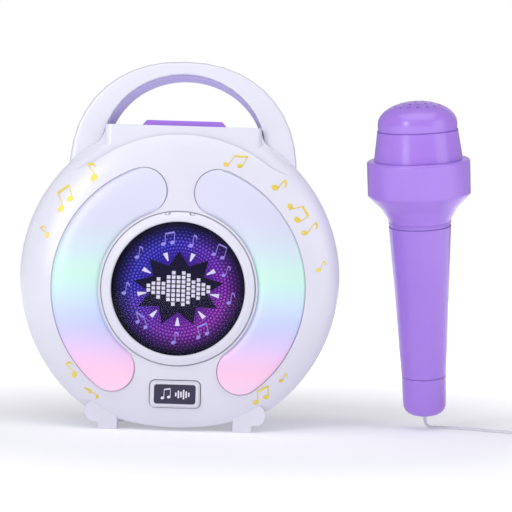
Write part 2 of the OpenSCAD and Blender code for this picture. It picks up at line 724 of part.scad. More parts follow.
// A tapered battery spring: one tube along a climbing spiral
spring_turns = 3;
spring_wire = 0.35;
module battery_spring(gap) {
    steps = 8 * spring_turns;
    path = [for (i = [0:steps]) let (u = i / steps, r = 4.4 - 2 * u)
        [r * cos(360 * spring_turns * u), r * sin(360 * spring_turns * u),
            spring_wire + (gap - 2 * spring_wire) * u]];
    tube(path, spring_wire, 6);
}
contact_t = 0.4;
module battery_contacts() color(steel) face_frame()
    for (i = [-1:1], s = [-1, 1]) translate([0, battery_up + i * cell_pitch, cell_mid]) {
        negative = (i == 0 ? s > 0 : s < 0);
        translate([s > 0 ? bay_w / 2 - contact_t : -bay_w / 2, -5, -5]) cube([contact_t, 10, 10]);
        reach = bay_w / 2 - contact_t - cell_len / 2;
        if (negative)
            translate([s * (bay_w / 2 - contact_t - 0.1), 0, 0]) rotate([0, -s * 90, 0])
                battery_spring(reach - 0.2);
        else
            translate([s > 0 ? cell_len / 2 : -cell_len / 2 - reach, -1.5, -1.5]) cube([reach, 3, 3]);
    }
module battery_door() color(white_abs) face_frame() {
    translate([-door_w / 2, battery_up - door_h / 2, -rear_depth]) difference() {
        cube([door_w, door_h, door_t]);
        for (i = [0:4]) translate([door_w / 2 - 12, door_h - 6 - i * 2.4, -e]) cube([24, 1.2, 0.6]);
    }
    for (s = [-1, 1]) translate([s * bay_w * 0.3 - 1, battery_up - bay_h / 2 + 1, -rear_depth + door_t - e])
        cube([2, bay_h - 2, cell_mid - cell_r - 0.3 + rear_depth - door_t]);
}
module switch_case() color(steel) face_frame()
    translate([switch_at[0] - 7, switch_at[1] - 3, -rear_depth + wall]) difference() {
        cube([14, 6, 5]);
        translate([1.2, 0.8, -1]) cube([11.6, 4.4, 3.4]);
    }
module power_slider() color(black) face_frame()
    translate([switch_at[0] - 5, switch_at[1] - 2, -rear_depth]) {
        translate([0.2, 0, -1]) cube([5, 4, wall + 1]);
        translate([-0.4, 0, wall + seat]) cube([7, 4, 1.6]);
        translate([0.2, 0, wall - e]) cube([5, 4, seat + 2 * e]);
    }
module mic_jack() color(black) face_frame() translate([jack_at[0], jack_at[1], -rear_depth - 0.8])
    difference() {
        union() {
            cylinder(h = wall + 1, r = jack_nose, $fn = 32);
            cylinder(h = 0.8, r = jack_nose + 1.5, $fn = 32);
            translate([-4.5, -4.5, wall + 0.8]) cube([9, 9, jack_len - wall]);
        }
        translate([0, 0, -1]) cylinder(h = jack_len + 1, r = jack_r, $fn = 32);
    }
board_back = -8;
board_w = 60;
board_h = 38;
chip_w = 12;
chip_up = 4;
can_up = 22;
can_at = [-22, 12, 20];
module main_board() color(board_green) face_frame() {
    translate([-board_w / 2, battery_up - 8, board_back]) cube([board_w, board_h, board_t]);
    translate([2 - chip_w, battery_up + chip_up, board_back + board_t - e]) cube([chip_w, chip_w, 1.4]);
    for (x = can_at) translate([x, battery_up + can_up, board_back + board_t - e])
        cylinder(h = 7, r = 2.5, $fn = 24);
}

// Microphone

crown_foot = mic_len - crown_h;
crown_side = 4;
module shell_revolve(profile) rotate_extrude($fn = 96) polygon(profile);
module mic_crown() color(pale_purple) mic_frame() difference() {
    rise = crown_h - crown_side;
    w = mic_wall;
    shell_revolve(concat([[crown_r - w, crown_foot], [crown_r, crown_foot]],
        arc([0, crown_foot + crown_side], crown_r, rise, 0, 90, 8),
        arc([0, crown_foot + crown_side], crown_r - w, rise - w, 90, 0, 8)));
    for (ring = [[0, 1], [4.6, 6], [9.2, 12], [13.8, 16]]) for (i = [0:ring[1] - 1])
        rotate(360 * i / ring[1] + ring[0] * 3) translate([ring[0], 0, crown_foot])
            cylinder(h = crown_h + 2, r = sound_hole_r, $fn = 16);
}
upper_foot_r = crown_r + 2.9;
module mic_upper_collar() color(pale_purple) mic_frame() shell_revolve([[8, collar_top + 4],
    [upper_foot_r - mic_wall, collar_top + 4], [upper_foot_r - mic_wall, collar_top],
    [upper_foot_r, collar_top], [crown_r + 1.2, crown_foot - 6], [crown_r + 0.5, crown_foot - 0.6],
    [crown_r, crown_foot], [crown_r - mic_wall, crown_foot],
    [upper_foot_r - mic_wall - 1, collar_top + 6], [8, collar_top + 6]]);
module mic_capsule() color(steel) mic_frame() translate([0, 0, collar_top + 6]) {
    cylinder(h = 4, r = 9, $fn = 48);
    translate([0, 0, 4 - e]) cylinder(h = 2, r = 8, $fn = 48);
}
band_foot = collar_top - collar_band;
module mic_collar() color(purple) mic_frame() {
    r = collar_r;
    w = mic_wall;
    shell_revolve(concat([[upper_foot_r - w, collar_top], [r - 1.5, collar_top]],
        arc([r - 1.5, collar_top - 1.5], 1.5, 1.5, 80, 0, 4),
        arc([r - 2, band_foot + 1], 2, 2, 0, -45, 3),
        [[r - 8, band_foot - 8]],
        arc([neck_r + 6, neck_h], 6, 6, 150, 180, 3),
        [[neck_r - w, neck_h], [neck_r - w + 1, neck_h + 3], [r - 9.5, band_foot - 6],
            [r - w, band_foot + 2], [r - w, collar_top - w], [upper_foot_r - w, collar_top - w]]));
}
module mic_grip() color(purple) mic_frame() {
    w = mic_wall;
    shell_revolve([[neck_r - w, neck_h], [neck_r, neck_h], [neck_r, neck_h - 0.8],
        [neck_r - 0.4, neck_h - 1.2], [neck_r - 0.4, neck_h - 2.6], [neck_r - 0.1, neck_h - 3],
        [neck_r - 1.2, neck_h - 22], [neck_r - 2.3, neck_h - 40], [neck_r - 3.1, neck_h - 58],
        [tail_r + 1.1, tail_h + 18], [tail_r, tail_h], [tail_r - w, tail_h],
        [tail_r + 1.1 - w, tail_h + 18], [neck_r - 3.1 - w, neck_h - 58]]);
}
gland_r = 2.6;
module mic_tail_cap() color(purple) mic_frame() difference() {
    shell_revolve(concat([[0, 0], [tail_r - 6.5, 0]], arc([tail_r - 6.4, 6.4], 6, 6.4, -80, 0, 6),
        [[tail_r - 0.2, 13], [tail_r - 0.1, tail_h - 0.8], [tail_r - 0.5, tail_h],
            [tail_r - mic_wall, tail_h], [tail_r - mic_wall, 8], [0, 6]]));
    translate([0, 0, -1]) cylinder(h = 20, r = gland_r, $fn = 32);
}
gland_out = 2.5;
module cord_gland() color([0.8, 0.8, 0.84]) mic_frame() translate([0, 0, -gland_out]) {
    cylinder(h = gland_out, r1 = cord_d / 2 + 0.5, r2 = gland_r, $fn = 32);
    translate([0, 0, gland_out - e]) cylinder(h = 5, r = gland_r, $fn = 32);
}

// Cord

// A closed tube of some sides swept along a path, each ring square to it
function unit(v) = v / norm(v);
function heading(path, i) = unit(path[min(i + 1, len(path) - 1)] - path[max(i - 1, 0)]);
function tube_ring(at, dir, r, sides) = let (
    side = unit(cross(dir, abs(dir[2]) > 0.9 ? [0, 1, 0] : [0, 0, 1])),
    top = cross(side, dir)
) [for (j = [0:sides - 1]) let (t = 360 * j / sides) at + r * (cos(t) * side + sin(t) * top)];
module tube(path, r, sides) {
    loft([for (i = [0:len(path) - 1]) tube_ring(path[i], heading(path, i), r, sides)]);
}
// The coil: one tube that spirals in along the lower layer and out along the upper one
coil_at = [191, 24];
coil_pitch = cord_d + coil_gap;
coil_low = tie_t + seat + cord_d / 2;
coil_rings = 24;
coil_out = coil_mean / 2 + coil_pitch * coil_turns / 2;
function coil_point(turn) = let (
    in_turns = coil_turns - abs(turn - coil_turns),
    r = coil_out - coil_pitch * in_turns,
    climb = min(1, max(0, (turn - coil_turns + 0.25) * 2)),
    a = 360 * turn - 90
) [coil_at[0] + r * cos(a), coil_at[1] + r * sin(a), coil_low + coil_pitch * climb];
coil_path = [for (i = [0:2 * coil_turns * coil_rings]) coil_point(i / coil_rings)];
coil_start = [coil_at[0], coil_at[1] - coil_out, coil_low];
coil_end = coil_start + [0, 0, coil_pitch];
module cord_coil() color([0.82, 0.82, 0.85])
    tube(concat([coil_start - [cord_d, 0, 0]], coil_path, [coil_end + [cord_d, 0, 0]]), cord_d / 2, 6);
function mic_point(s) = let (
    a = mic_tilt,
    b = -mic_lean
) mic_at + s * [cos(a) * sin(b), -sin(a), cos(a) * cos(b)];
// The free stretch from the gland to the coil, resting on the surface
cord_exit = mic_point(-gland_out);
cord_down = unit(mic_point(-gland_out) - mic_at);
cord_route = [[113.7, 20.3, 3.7], [115, 21.5, 2.1], [117, 22.7, 1.2], [119.6, 23.6, 1],
    [124, 24.1, 1], [129, 23.8, 1], [135, 22.3, 1], [141, 19.7, 1], [147, 16.5, 1],
    [153, 13.2, 1], [159, 10.3, 1], [165, 8.1, 1], [171, 6.6, 1], [177, 5.6, 1.2],
    [182, 5.1, 1.6], [186, 4.8, 1.9]];
module mic_cord() color([0.82, 0.82, 0.85])
    tube(concat([cord_exit, cord_exit + cord_down * cord_d], cord_route,
        [coil_start - [2 * cord_d, 0, 0], coil_start - [cord_d, 0, 0]]), cord_d / 2, 8);

// The stretch from the coil to the plug, which lies beside the coil
plug_len = 20;
plug_at = [210, 52, plug_r];
lead_route = [[197, 4.7, 3.8], [202, 5.6, 3], [207.5, 8, 2.2], [212.6, 12, 1.6], [216, 17, 1.2],
    [218.2, 23, 1], [219, 29, 1], [219, 35, 1.2], [218.4, 40, 1.7], [217.2, 44.6, 2.4],
    [215.4, 48.6, 3.2]];
module plug_lead() color([0.82, 0.82, 0.85])
    tube(concat([coil_end + [cord_d, 0, 0], coil_end + [2 * cord_d, 0, 0]], lead_route,
        [plug_at + [cord_d + 0.6, 0.2, 0], plug_at]), cord_d / 2, 8);
module plug_body() color([0.82, 0.82, 0.85]) translate(plug_at) rotate([0, -90, 0]) {
    cylinder(h = 6, r1 = cord_d / 2 + 0.6, r2 = plug_r - 1, $fn = 32);
    translate([0, 0, 6 - e]) cylinder(h = plug_len - 6, r = plug_r, $fn = 32);
}
module plug_pin() color([0.85, 0.8, 0.6]) translate(plug_at) rotate([0, -90, 0]) translate([0, 0, plug_len])
    rotate_extrude($fn = 32) polygon([[0, 0], [2.6, 0], [2.6, 1.6], [1.75, 1.6], [1.75, 11.4],
        [1.3, 12], [1.75, 12.8], [1.4, 14], [0, 15]]);
tie_w = 3;
module cord_tie() color(white_abs) translate([coil_at[0] - tie_w / 2, coil_at[1], 0]) difference() {
    inner = coil_mean / 2 - coil_pitch * coil_turns / 2 - cord_d / 2 - 2 * seat;
    outer = coil_out + cord_d / 2 + seat;
    high = coil_low + coil_pitch + cord_d / 2 + seat;
    translate([0, inner - tie_t, 0]) cube([tie_w, outer - inner + 2 * tie_t, high + tie_t]);
    translate([-1, inner, tie_t]) cube([tie_w + 2, outer - inner, high - tie_t]);
}

front_shell();
rear_shell();
left_light_panel();
right_light_panel();
left_led_board();
right_led_board();
panel_leds();
disc_tray();
spindle_motor();
main_board();
speaker_basket();
speaker_cone();
speaker_magnet();
battery_cells();
battery_contacts();
switch_case();
mic_jack();
case_screws();
control_panel();
key_board();
door_ring();
door_lens();
door_pin();
music_disc();
turntable();
motor_shaft();
music_button();
button_plate();
key_1();
key_2();
key_3();
key_4();
key_5();
power_slider();
battery_door();
mic_crown();
mic_upper_collar();
mic_collar();
mic_grip();
mic_tail_cap();
mic_capsule();
cord_gland();
mic_cord();
cord_coil();
plug_lead();
cord_tie();
plug_body();
plug_pin();
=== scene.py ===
import math

import bmesh
import bpy
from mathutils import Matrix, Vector


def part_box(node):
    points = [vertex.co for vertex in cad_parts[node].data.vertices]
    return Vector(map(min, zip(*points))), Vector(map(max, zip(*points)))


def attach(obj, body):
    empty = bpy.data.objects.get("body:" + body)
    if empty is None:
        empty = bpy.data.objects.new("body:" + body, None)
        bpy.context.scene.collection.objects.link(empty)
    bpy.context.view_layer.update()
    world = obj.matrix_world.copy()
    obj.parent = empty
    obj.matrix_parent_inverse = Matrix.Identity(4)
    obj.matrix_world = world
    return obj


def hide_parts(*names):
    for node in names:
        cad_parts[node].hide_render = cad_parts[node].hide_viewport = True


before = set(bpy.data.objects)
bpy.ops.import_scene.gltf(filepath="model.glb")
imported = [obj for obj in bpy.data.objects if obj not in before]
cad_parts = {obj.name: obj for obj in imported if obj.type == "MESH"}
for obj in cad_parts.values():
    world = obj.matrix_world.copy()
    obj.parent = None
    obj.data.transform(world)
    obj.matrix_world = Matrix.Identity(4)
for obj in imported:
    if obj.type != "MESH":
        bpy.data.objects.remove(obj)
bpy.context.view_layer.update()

# Camera, floor and light
# A long lens at table height, level with the middle of the machine and turned a little, so that
# the picture leans clockwise. The sweep is plain white card, lit softly from above, from both
# sides in front and a little from behind.

MM = 0.001
camera_data = bpy.data.cameras.new("camera")
camera_data.sensor_width = 36.0
photo_width = 512
focal_pixels = 1500
camera_data.lens = camera_data.sensor_width * focal_pixels / photo_width
camera_data.clip_start = 0.01
camera = bpy.data.objects.new("camera", camera_data)
camera.location = (6.5 * MM, -900 * MM, 103.2 * MM)
picture_lean = math.radians(1.7)
camera.rotation_euler = (math.radians(90), -picture_lean, 0)
bpy.context.scene.collection.objects.link(camera)
bpy.context.scene.camera = camera
bpy.context.scene.view_settings.view_transform = "Standard"


def linear(hex_colour):
    """An sRGB hex colour as linear red, green, blue and full alpha."""
    parts = [int(hex_colour[i:i + 2], 16) / 255 for i in (1, 3, 5)]
    return [p / 12.92 if p <= 0.04045 else ((p + 0.055) / 1.055) ** 2.4 for p in parts] + [1.0]


def add(tree, kind, sockets=None, **settings):
    """Adds a node with its settings. A socket takes a value, or another node's output."""
    made = tree.nodes.new(kind)
    for name, value in settings.items():
        setattr(made, name, value)
    for name, value in (sockets or {}).items():
        if isinstance(value, bpy.types.NodeSocket):
            tree.links.new(value, made.inputs[name])
        else:
            made.inputs[name].default_value = value
    return made


def start_material(name):
    """A material with an empty node tree, and that tree."""
    made = bpy.data.materials.new(name)
    made.use_nodes = True
    made.node_tree.nodes.clear()
    return made, made.node_tree


def end_material(made, shader):
    """Puts the shader on the material's surface."""
    add(made.node_tree, "ShaderNodeOutputMaterial", {"Surface": shader.outputs[0]})
    return made


def new_piece(name, mesh, material):
    """An object of the mesh at the origin, in one material."""
    piece = bpy.data.objects.new(name, mesh)
    bpy.context.scene.collection.objects.link(piece)
    mesh.materials.clear()
    mesh.materials.append(material)
    return piece


def mesh_of(name, points, faces):
    """A mesh of points in metres and of faces that list their numbers."""
    mesh = bpy.data.meshes.new(name)
    mesh.from_pydata([Vector(p) for p in points], [], faces)
    mesh.update()
    return mesh


# Matt white card: flat, with a barely uneven tone, and a painted glow that grows away from the part
# so that it meets the backdrop without a horizon; near the part the glow is weak, so the shade
# there stays
card, card_tree = start_material("white_card")
card_place = add(card_tree, "ShaderNodeTexCoord").outputs["Object"]
card_noise = add(card_tree, "ShaderNodeTexNoise", {"Vector": card_place, "Scale": 3.0})
card_tone = add(card_tree, "ShaderNodeMix", {
    "Factor": card_noise.outputs["Fac"], "A": linear("#E6E6EA"), "B": linear("#EAEAEE")},
    data_type="RGBA")
card_away = add(card_tree, "ShaderNodeVectorMath", {0: card_place}, operation="LENGTH")
near_m, far_m = 0.16, 0.6
# painted light: the card's own glow, weak near the part and strong far from it
card_painted_glow = add(card_tree, "ShaderNodeMapRange", {
    "Value": card_away.outputs["Value"], "From Min": near_m, "From Max": far_m,
    "To Min": 0.22, "To Max": 0.95})
end_material(card, add(card_tree, "ShaderNodeBsdfPrincipled", {
    "Base Color": card_tone.outputs["Result"], "Roughness": 0.95,
    "Emission Color": linear("#FFFFFF"), "Emission Strength": card_painted_glow.outputs["Result"]}))
sweep_half, sweep_front, sweep_back = 3.0, -1.6, 3.0
floor = new_piece("floor", mesh_of("floor", [
    (-sweep_half, sweep_front, 0), (sweep_half, sweep_front, 0),
    (sweep_half, sweep_back, 0), (-sweep_half, sweep_back, 0)], [(0, 1, 2, 3)]), card)


def softbox(name, place, size, watts):
    """A white rectangular light, sized and placed in metres, aimed at the middle of the group."""
    data = bpy.data.lights.new(name, "AREA")
    data.shape = "RECTANGLE"
    data.size, data.size_y = size
    data.energy = watts
    lamp = bpy.data.objects.new(name, data)
    lamp.location = place
    aim = Vector((0, 0, 110 * MM)) - Vector(place)
    lamp.rotation_euler = aim.to_track_quat("-Z", "Y").to_euler()
    bpy.context.scene.collection.objects.link(lamp)


softbox("overhead", (0, -0.45, 1.2), (1.4, 1.0), 7.0)
softbox("front_left", (-0.8, -1.1, 0.5), (0.4, 0.8), 6.0)
softbox("front_right", (1.2, -0.7, 0.5), (0.8, 0.9), 3.4)
softbox("behind", (0.4, 1.3, 0.8), (1.2, 0.8), 1.0)

world = bpy.data.worlds.new("studio")
world.use_nodes = True
world_tree = world.node_tree
world_tree.nodes.clear()
room = add(world_tree, "ShaderNodeBackground", {"Color": linear("#F9F9FF"), "Strength": 0.34})
backdrop = add(world_tree, "ShaderNodeBackground", {"Color": linear("#FFFFFF"), "Strength": 1.0})
seen = add(world_tree, "ShaderNodeLightPath").outputs["Is Camera Ray"]
sky = add(world_tree, "ShaderNodeMixShader", {0: seen, 1: room.outputs[0], 2: backdrop.outputs[0]})
add(world_tree, "ShaderNodeOutputWorld", {"Surface": sky.outputs[0]})
bpy.context.scene.world = world

# Microphone's cord
# A soft two-core PVC lead, 2 mm thick. It leaves the gland in the tail, drops to the table, and
# the length that isn't needed is wound in a flat two-layer coil with a tie; the plug lies beside.

CORD_D = 2.0
COIL_AT = (191.0, 24.0)
COIL_TURNS, COIL_PITCH, COIL_MEAN = 6, 2.45, 24.0
COIL_LOW = 2.0
coil_outer = COIL_MEAN / 2 + COIL_PITCH * COIL_TURNS / 2
MIC_AT = (112.7, 19.0, 10.2)
MIC_TILT, MIC_LEAN = math.radians(10.7), math.radians(4.35)


def up_the_microphone(height):
    """The point on the microphone's axis at a height from its tail, in millimetres."""
    return Vector(MIC_AT) + height * Vector((
        -math.cos(MIC_TILT) * math.sin(MIC_LEAN), -math.sin(MIC_TILT),
        math.cos(MIC_TILT) * math.cos(MIC_LEAN)))


def coil_point(turn):
    """The cord's middle after some turns: it winds in, climbs to the upper layer and winds out."""
    climb_turns = 0.5
    wound_in = COIL_TURNS - abs(turn - COIL_TURNS)
    radius = coil_outer - COIL_PITCH * wound_in
    climb = min(1, max(0, (turn - COIL_TURNS + climb_turns / 2) / climb_turns))
    angle = math.radians(360 * turn - 90)
    return Vector((COIL_AT[0] + radius * math.cos(angle), COIL_AT[1] + radius * math.sin(angle),
                   COIL_LOW + COIL_PITCH * climb))


def eased(route, steps):
    """A smooth curve through given points, with some steps between each two."""
    out = []
    for i in range(len(route) - 1):
        a, b, c = route[max(i - 1, 0)], route[i], route[i + 1]
        d = route[min(i + 2, len(route) - 1)]
        for k in range(steps):
            t = k / steps
            out.append(0.5 * (2 * b + (c - a) * t + (2 * a - 5 * b + 4 * c - d) * t ** 2
                              + (3 * b - a - 3 * c + d) * t ** 3))
    return out + [route[-1]]


gland_out = 2.5
cord_exit = up_the_microphone(-gland_out)
straight_out = (cord_exit - Vector(MIC_AT)).normalized()
coil_start = Vector((COIL_AT[0], COIL_AT[1] - coil_outer, COIL_LOW))
coil_end = coil_start + Vector((0, 0, COIL_PITCH))
step_in = Vector((CORD_D, 0, 0))
free_route = [cord_exit, cord_exit + straight_out * CORD_D] + [Vector(p) for p in (
    (113.7, 20.3, 3.7), (115, 21.5, 2.1), (117, 22.7, 1.2), (119.6, 23.6, 1), (124, 24.1, 1),
    (129, 23.8, 1), (135, 22.3, 1), (141, 19.7, 1), (147, 16.5, 1), (153, 13.2, 1),
    (159, 10.3, 1), (165, 8.1, 1),
    (171, 6.6, 1), (177, 5.6, 1.2), (182, 5.1, 1.6), (186, 4.8, 1.9))] + [
    coil_start - 2 * step_in, coil_start - step_in]
plug_at = Vector((210.0, 52.0, 4.2))
lead_route = [coil_end + step_in, coil_end + 2 * step_in] + [Vector(p) for p in (
    (197, 4.7, 3.8), (202, 5.6, 3), (207.5, 8, 2.2), (212.6, 12, 1.6), (216, 17, 1.2),
    (218.2, 23, 1), (219, 29, 1), (219, 35, 1.2), (218.4, 40, 1.7), (217.2, 44.6, 2.4),
    (215.4, 48.6, 3.2))] + [
    plug_at + Vector((CORD_D + 0.6, 0.2, 0)), plug_at]
coil_steps, free_steps = 48, 4
cord_path = (eased(free_route, free_steps)
             + [coil_point(i / coil_steps) for i in range(2 * COIL_TURNS * coil_steps + 1)]
             + eased(lead_route, free_steps))

# Soft PVC, extruded: matt, faintly rubbery, greyish white
pvc, pvc_tree = start_material("soft_pvc")
pvc_place = add(pvc_tree, "ShaderNodeTexCoord").outputs["Object"]
pvc_noise = add(pvc_tree, "ShaderNodeTexNoise", {
    "Vector": pvc_place, "Scale": 160.0, "Detail": 3.0})
pvc_tone = add(pvc_tree, "ShaderNodeMix", {
    "Factor": pvc_noise.outputs["Fac"], "A": linear("#CFCFD6"), "B": linear("#DEDEE4")},
    data_type="RGBA")
pvc_bump = add(pvc_tree, "ShaderNodeBump", {
    "Height": pvc_noise.outputs["Fac"], "Strength": 0.2, "Distance": 0.05 * MM})
end_material(pvc, add(pvc_tree, "ShaderNodeBsdfPrincipled", {
    "Base Color": pvc_tone.outputs["Result"], "Roughness": 0.45,
    "Normal": pvc_bump.outputs["Normal"]}))

cord_curve = bpy.data.curves.new("microphone_cord", "CURVE")
cord_curve.dimensions = "3D"
cord_curve.bevel_depth = CORD_D / 2 * MM
cord_curve.bevel_resolution = 3
cord_curve.use_fill_caps = True
spline = cord_curve.splines.new("POLY")
spline.points.add(len(cord_path) - 1)
for at, point in zip(spline.points, cord_path):
    at.co = (*(point * MM), 1)
spline.use_smooth = True
cord_curve.materials.append(pvc)
cord = bpy.data.objects.new("microphone_cord", cord_curve)
bpy.context.scene.collection.objects.link(cord)
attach(cord, "microphone")
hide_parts("mic_cord", "cord_coil", "plug_lead")

# Case
# Two injection-moulded shells of gloss ABS with the handle moulded on, parting at mid depth.
# A hair of cool lavender in the resin; the mould's polish leaves a faint unevenness.

def moulded_abs(name, light, shade, roughness, texture_mm=1.6, coat=0.12):
    """Injection-moulded ABS: an even tone with faint flow marks, a soft gloss and rounded edges."""
    made, tree = start_material(name)
    place = add(tree, "ShaderNodeTexCoord").outputs["Object"]
    flow_mm, uneven = 60, 0.05
    flow = add(tree, "ShaderNodeTexNoise", {
        "Vector": place, "Scale": 1000 / flow_mm, "Detail": 2.0})
    tone = add(tree, "ShaderNodeMix", {
        "Factor": flow.outputs["Fac"], "A": linear(shade), "B": linear(light)}, data_type="RGBA")
    skin = add(tree, "ShaderNodeTexNoise", {
        "Vector": place, "Scale": 1000 / texture_mm, "Detail": 3.0})
    gloss = add(tree, "ShaderNodeMapRange", {
        "Value": skin.outputs["Fac"], "To Min": roughness - uneven, "To Max": roughness + uneven})
    edge = add(tree, "ShaderNodeBevel", {"Radius": 0.5 * MM}, samples=4)
    bump = add(tree, "ShaderNodeBump", {
        "Height": skin.outputs["Fac"], "Strength": 0.06, "Distance": 0.02 * MM,
        "Normal": edge.outputs["Normal"]})
    return end_material(made, add(tree, "ShaderNodeBsdfPrincipled", {
        "Base Color": tone.outputs["Result"], "Roughness": gloss.outputs["Result"], "IOR": 1.53,
        "Coat Weight": coat, "Coat Roughness": 0.12, "Normal": bump.outputs["Normal"]}))


def apply_modifiers(piece):
    """Gives the piece the mesh that its modifiers make, takes them away and returns that mesh."""
    bpy.context.view_layer.update()
    ready = piece.evaluated_get(bpy.context.evaluated_depsgraph_get())
    mesh = bpy.data.meshes.new_from_object(ready)
    piece.modifiers.clear()
    piece.data = mesh
    return mesh


def moulding(cad_node, name, body, material, crease_degrees=32, shave=None):
    """A CAD solid's surface welded into one smooth skin, which stands for that solid.
    What shave holds is cut away from it first."""
    weld_mm, speck_mm = 0.002, 0.001
    welded = bmesh.new()
    welded.from_mesh(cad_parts[cad_node].data)
    bmesh.ops.remove_doubles(welded, verts=welded.verts, dist=weld_mm * MM)
    bmesh.ops.dissolve_degenerate(welded, edges=welded.edges, dist=speck_mm * MM)
    welded.verts.index_update()
    mesh = mesh_of(name, [v.co for v in welded.verts],
                   [[v.index for v in face.verts] for face in welded.faces])
    welded.free()
    piece = new_piece(name, mesh, material)
    if shave:
        cut = piece.modifiers.new("shave", "BOOLEAN")
        cut.operation, cut.solver, cut.object = "DIFFERENCE", "EXACT", shave
        mesh = apply_modifiers(piece)
        mesh.materials.clear()
        mesh.materials.append(material)
        bpy.data.objects.remove(shave)
    mesh.polygons.foreach_set("use_smooth", [True] * len(mesh.polygons))
    mesh.set_sharp_from_angle(angle=math.radians(crease_degrees))
    weighted = piece.modifiers.new("even_normals", "WEIGHTED_NORMAL")
    weighted.weight = 100
    weighted.keep_sharp = True
    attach(piece, body)
    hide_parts(cad_node)


def facing_out(mesh):
    """Turns the faces of a closed mesh outwards."""
    turned = bmesh.new()
    turned.from_mesh(mesh)
    bmesh.ops.recalc_face_normals(turned, faces=turned.faces)
    turned.to_mesh(mesh)
    turned.free()


def closed_piece(name, points, faces, material, body):
    """A small closed form that only the scene has, riding on a body."""
    piece = new_piece(name, mesh_of(name, points, faces), material)
    facing_out(piece.data)
    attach(piece, body)
    return piece


def rod_faces(rings):
    """The faces of a closed rod whose four-cornered rings follow one another."""
    faces = [(k + j, k + (j + 1) % 4, k - 4 + (j + 1) % 4, k - 4 + j)
             for k in range(4, 4 * rings, 4) for j in range(4)]
    return faces + [(3, 2, 1, 0), tuple(4 * (rings - 1) + j for j in range(4))]


MACHINE_X, CASE_CZ = -38.0, 89.0
white_abs = moulded_abs("lavender_white_abs", "#DDDCE8", "#D5D4E2", 0.3)
# The dome's step below the shoulder runs out to nothing at each side: a prism cuts it there
STEP_FACE, STEP_DEPTH = 26.0, 14.0
STEP_END = ((51.5, 154.75), (57.0, 152.3), (63.0, 150.4), (63.0, 164.0), (51.5, 164.0))
runout_points, runout_faces = [], []
for side in (-1, 1):
    first, n = len(runout_points), len(STEP_END)
    for depth in (STEP_FACE, STEP_FACE + STEP_DEPTH):
        runout_points.extend(Vector((MACHINE_X + side * x, -depth, z)) * MM for x, z in STEP_END)
    runout_faces.append(tuple(first + k for k in range(n)))
    runout_faces.append(tuple(first + n + k for k in reversed(range(n))))
    runout_faces.extend((first + k, first + n + k, first + n + (k + 1) % n, first + (k + 1) % n)
                        for k in range(n))
runout = new_piece("step_runout", mesh_of("step_runout", runout_points, runout_faces), white_abs)
facing_out(runout.data)
moulding("front_shell", "case_front", "case", white_abs, shave=runout)
moulding("rear_shell", "case_back", "case", white_abs)


def parting_seam(name, outline):
    """The hairline where the two shells meet, a strip of painted shade for the gap, along an
    outline of x and z points at mid depth.
    """
    wide, proud, deep = 0.2, 0.05, 0.5
    points = []
    for i, (x, z) in enumerate(outline):
        before, after = outline[max(i - 1, 0)], outline[min(i + 1, len(outline) - 1)]
        along = Vector((after[0] - before[0], 0, after[1] - before[1])).normalized()
        out = Vector((-along.z, 0, along.x))
        at = Vector((MACHINE_X + x, 0, z))
        for across, lift in ((-wide, -deep), (-wide, proud), (wide, proud), (wide, -deep)):
            points.append((at + out * lift + Vector((0, across, 0))) * MM)
    closed_piece(name, points, rod_faces(len(outline)), parting_line_painted_shade, "case")


def signed_power(value, power):
    """A power of the value that keeps its sign, for an oval squarer than an ellipse."""
    return math.copysign(abs(value) ** power, value)


# painted shade: a darker copy of the lavender white stands for the shadow in the shells' gap
parting_line_painted_shade = moulded_abs("parting_line_shade", "#A9A6BE", "#A19EB6", 0.6, coat=0.0)
CASE_R = 94.0
HANDLE_A, HANDLE_B, HANDLE_Z, SQUARENESS = 67.0, 65.7, 150.8, 2.2
HANDLE_SPREAD, HANDLE_STEPS = 102.0, 24
handle_outline = []
for i in range(1, HANDLE_STEPS):
    t = math.radians(HANDLE_SPREAD * (2 * i / HANDLE_STEPS - 1))
    handle_outline.append((HANDLE_A * signed_power(math.sin(t), 2 / SQUARENESS),
                           HANDLE_Z + HANDLE_B * signed_power(math.cos(t), 2 / SQUARENESS)))
parting_seam("handle_parting_line", handle_outline)
seam_from, seam_to, seam_steps = 46.0, 150.0, 42
for side_name, side in (("left", -1), ("right", 1)):
    turns = [math.radians(seam_from + (seam_to - seam_from) * k / seam_steps)
             for k in range(seam_steps + 1)]
    run = [(side * CASE_R * math.sin(t), CASE_CZ + CASE_R * math.cos(t)) for t in turns]
    parting_seam(f"{side_name}_parting_line", run if side > 0 else run[::-1])

# Handle's underside in painted shade
# A thin violet sheet laid along the underside of the handle, where the fingers go: painted shade,
# in the colour of the white plastic's shaded inner wall. It follows the oval of the opening down to
# the shoulder.

GRIP_A, GRIP_B, GRIP_Z = 47.6, 44.1, 164.2
SHADE_SHEET_T, SHADE_SHEET_HALF = 0.4, 15.6
shade_sheet_steps, shade_sheet_end, shade_sheet_crease = 56, math.radians(71.5), math.radians(30)
shade_sheet_points = []
for i in range(shade_sheet_steps + 1):
    t = shade_sheet_end * (2 * i / shade_sheet_steps - 1)
    for deep, lift in ((-SHADE_SHEET_HALF, 0), (-SHADE_SHEET_HALF, SHADE_SHEET_T),
                       (SHADE_SHEET_HALF, SHADE_SHEET_T), (SHADE_SHEET_HALF, 0)):
        shade_sheet_points.append(Vector((MACHINE_X + (GRIP_A - lift) * math.sin(t), deep,
                                     GRIP_Z + (GRIP_B - lift) * math.cos(t))) * MM)
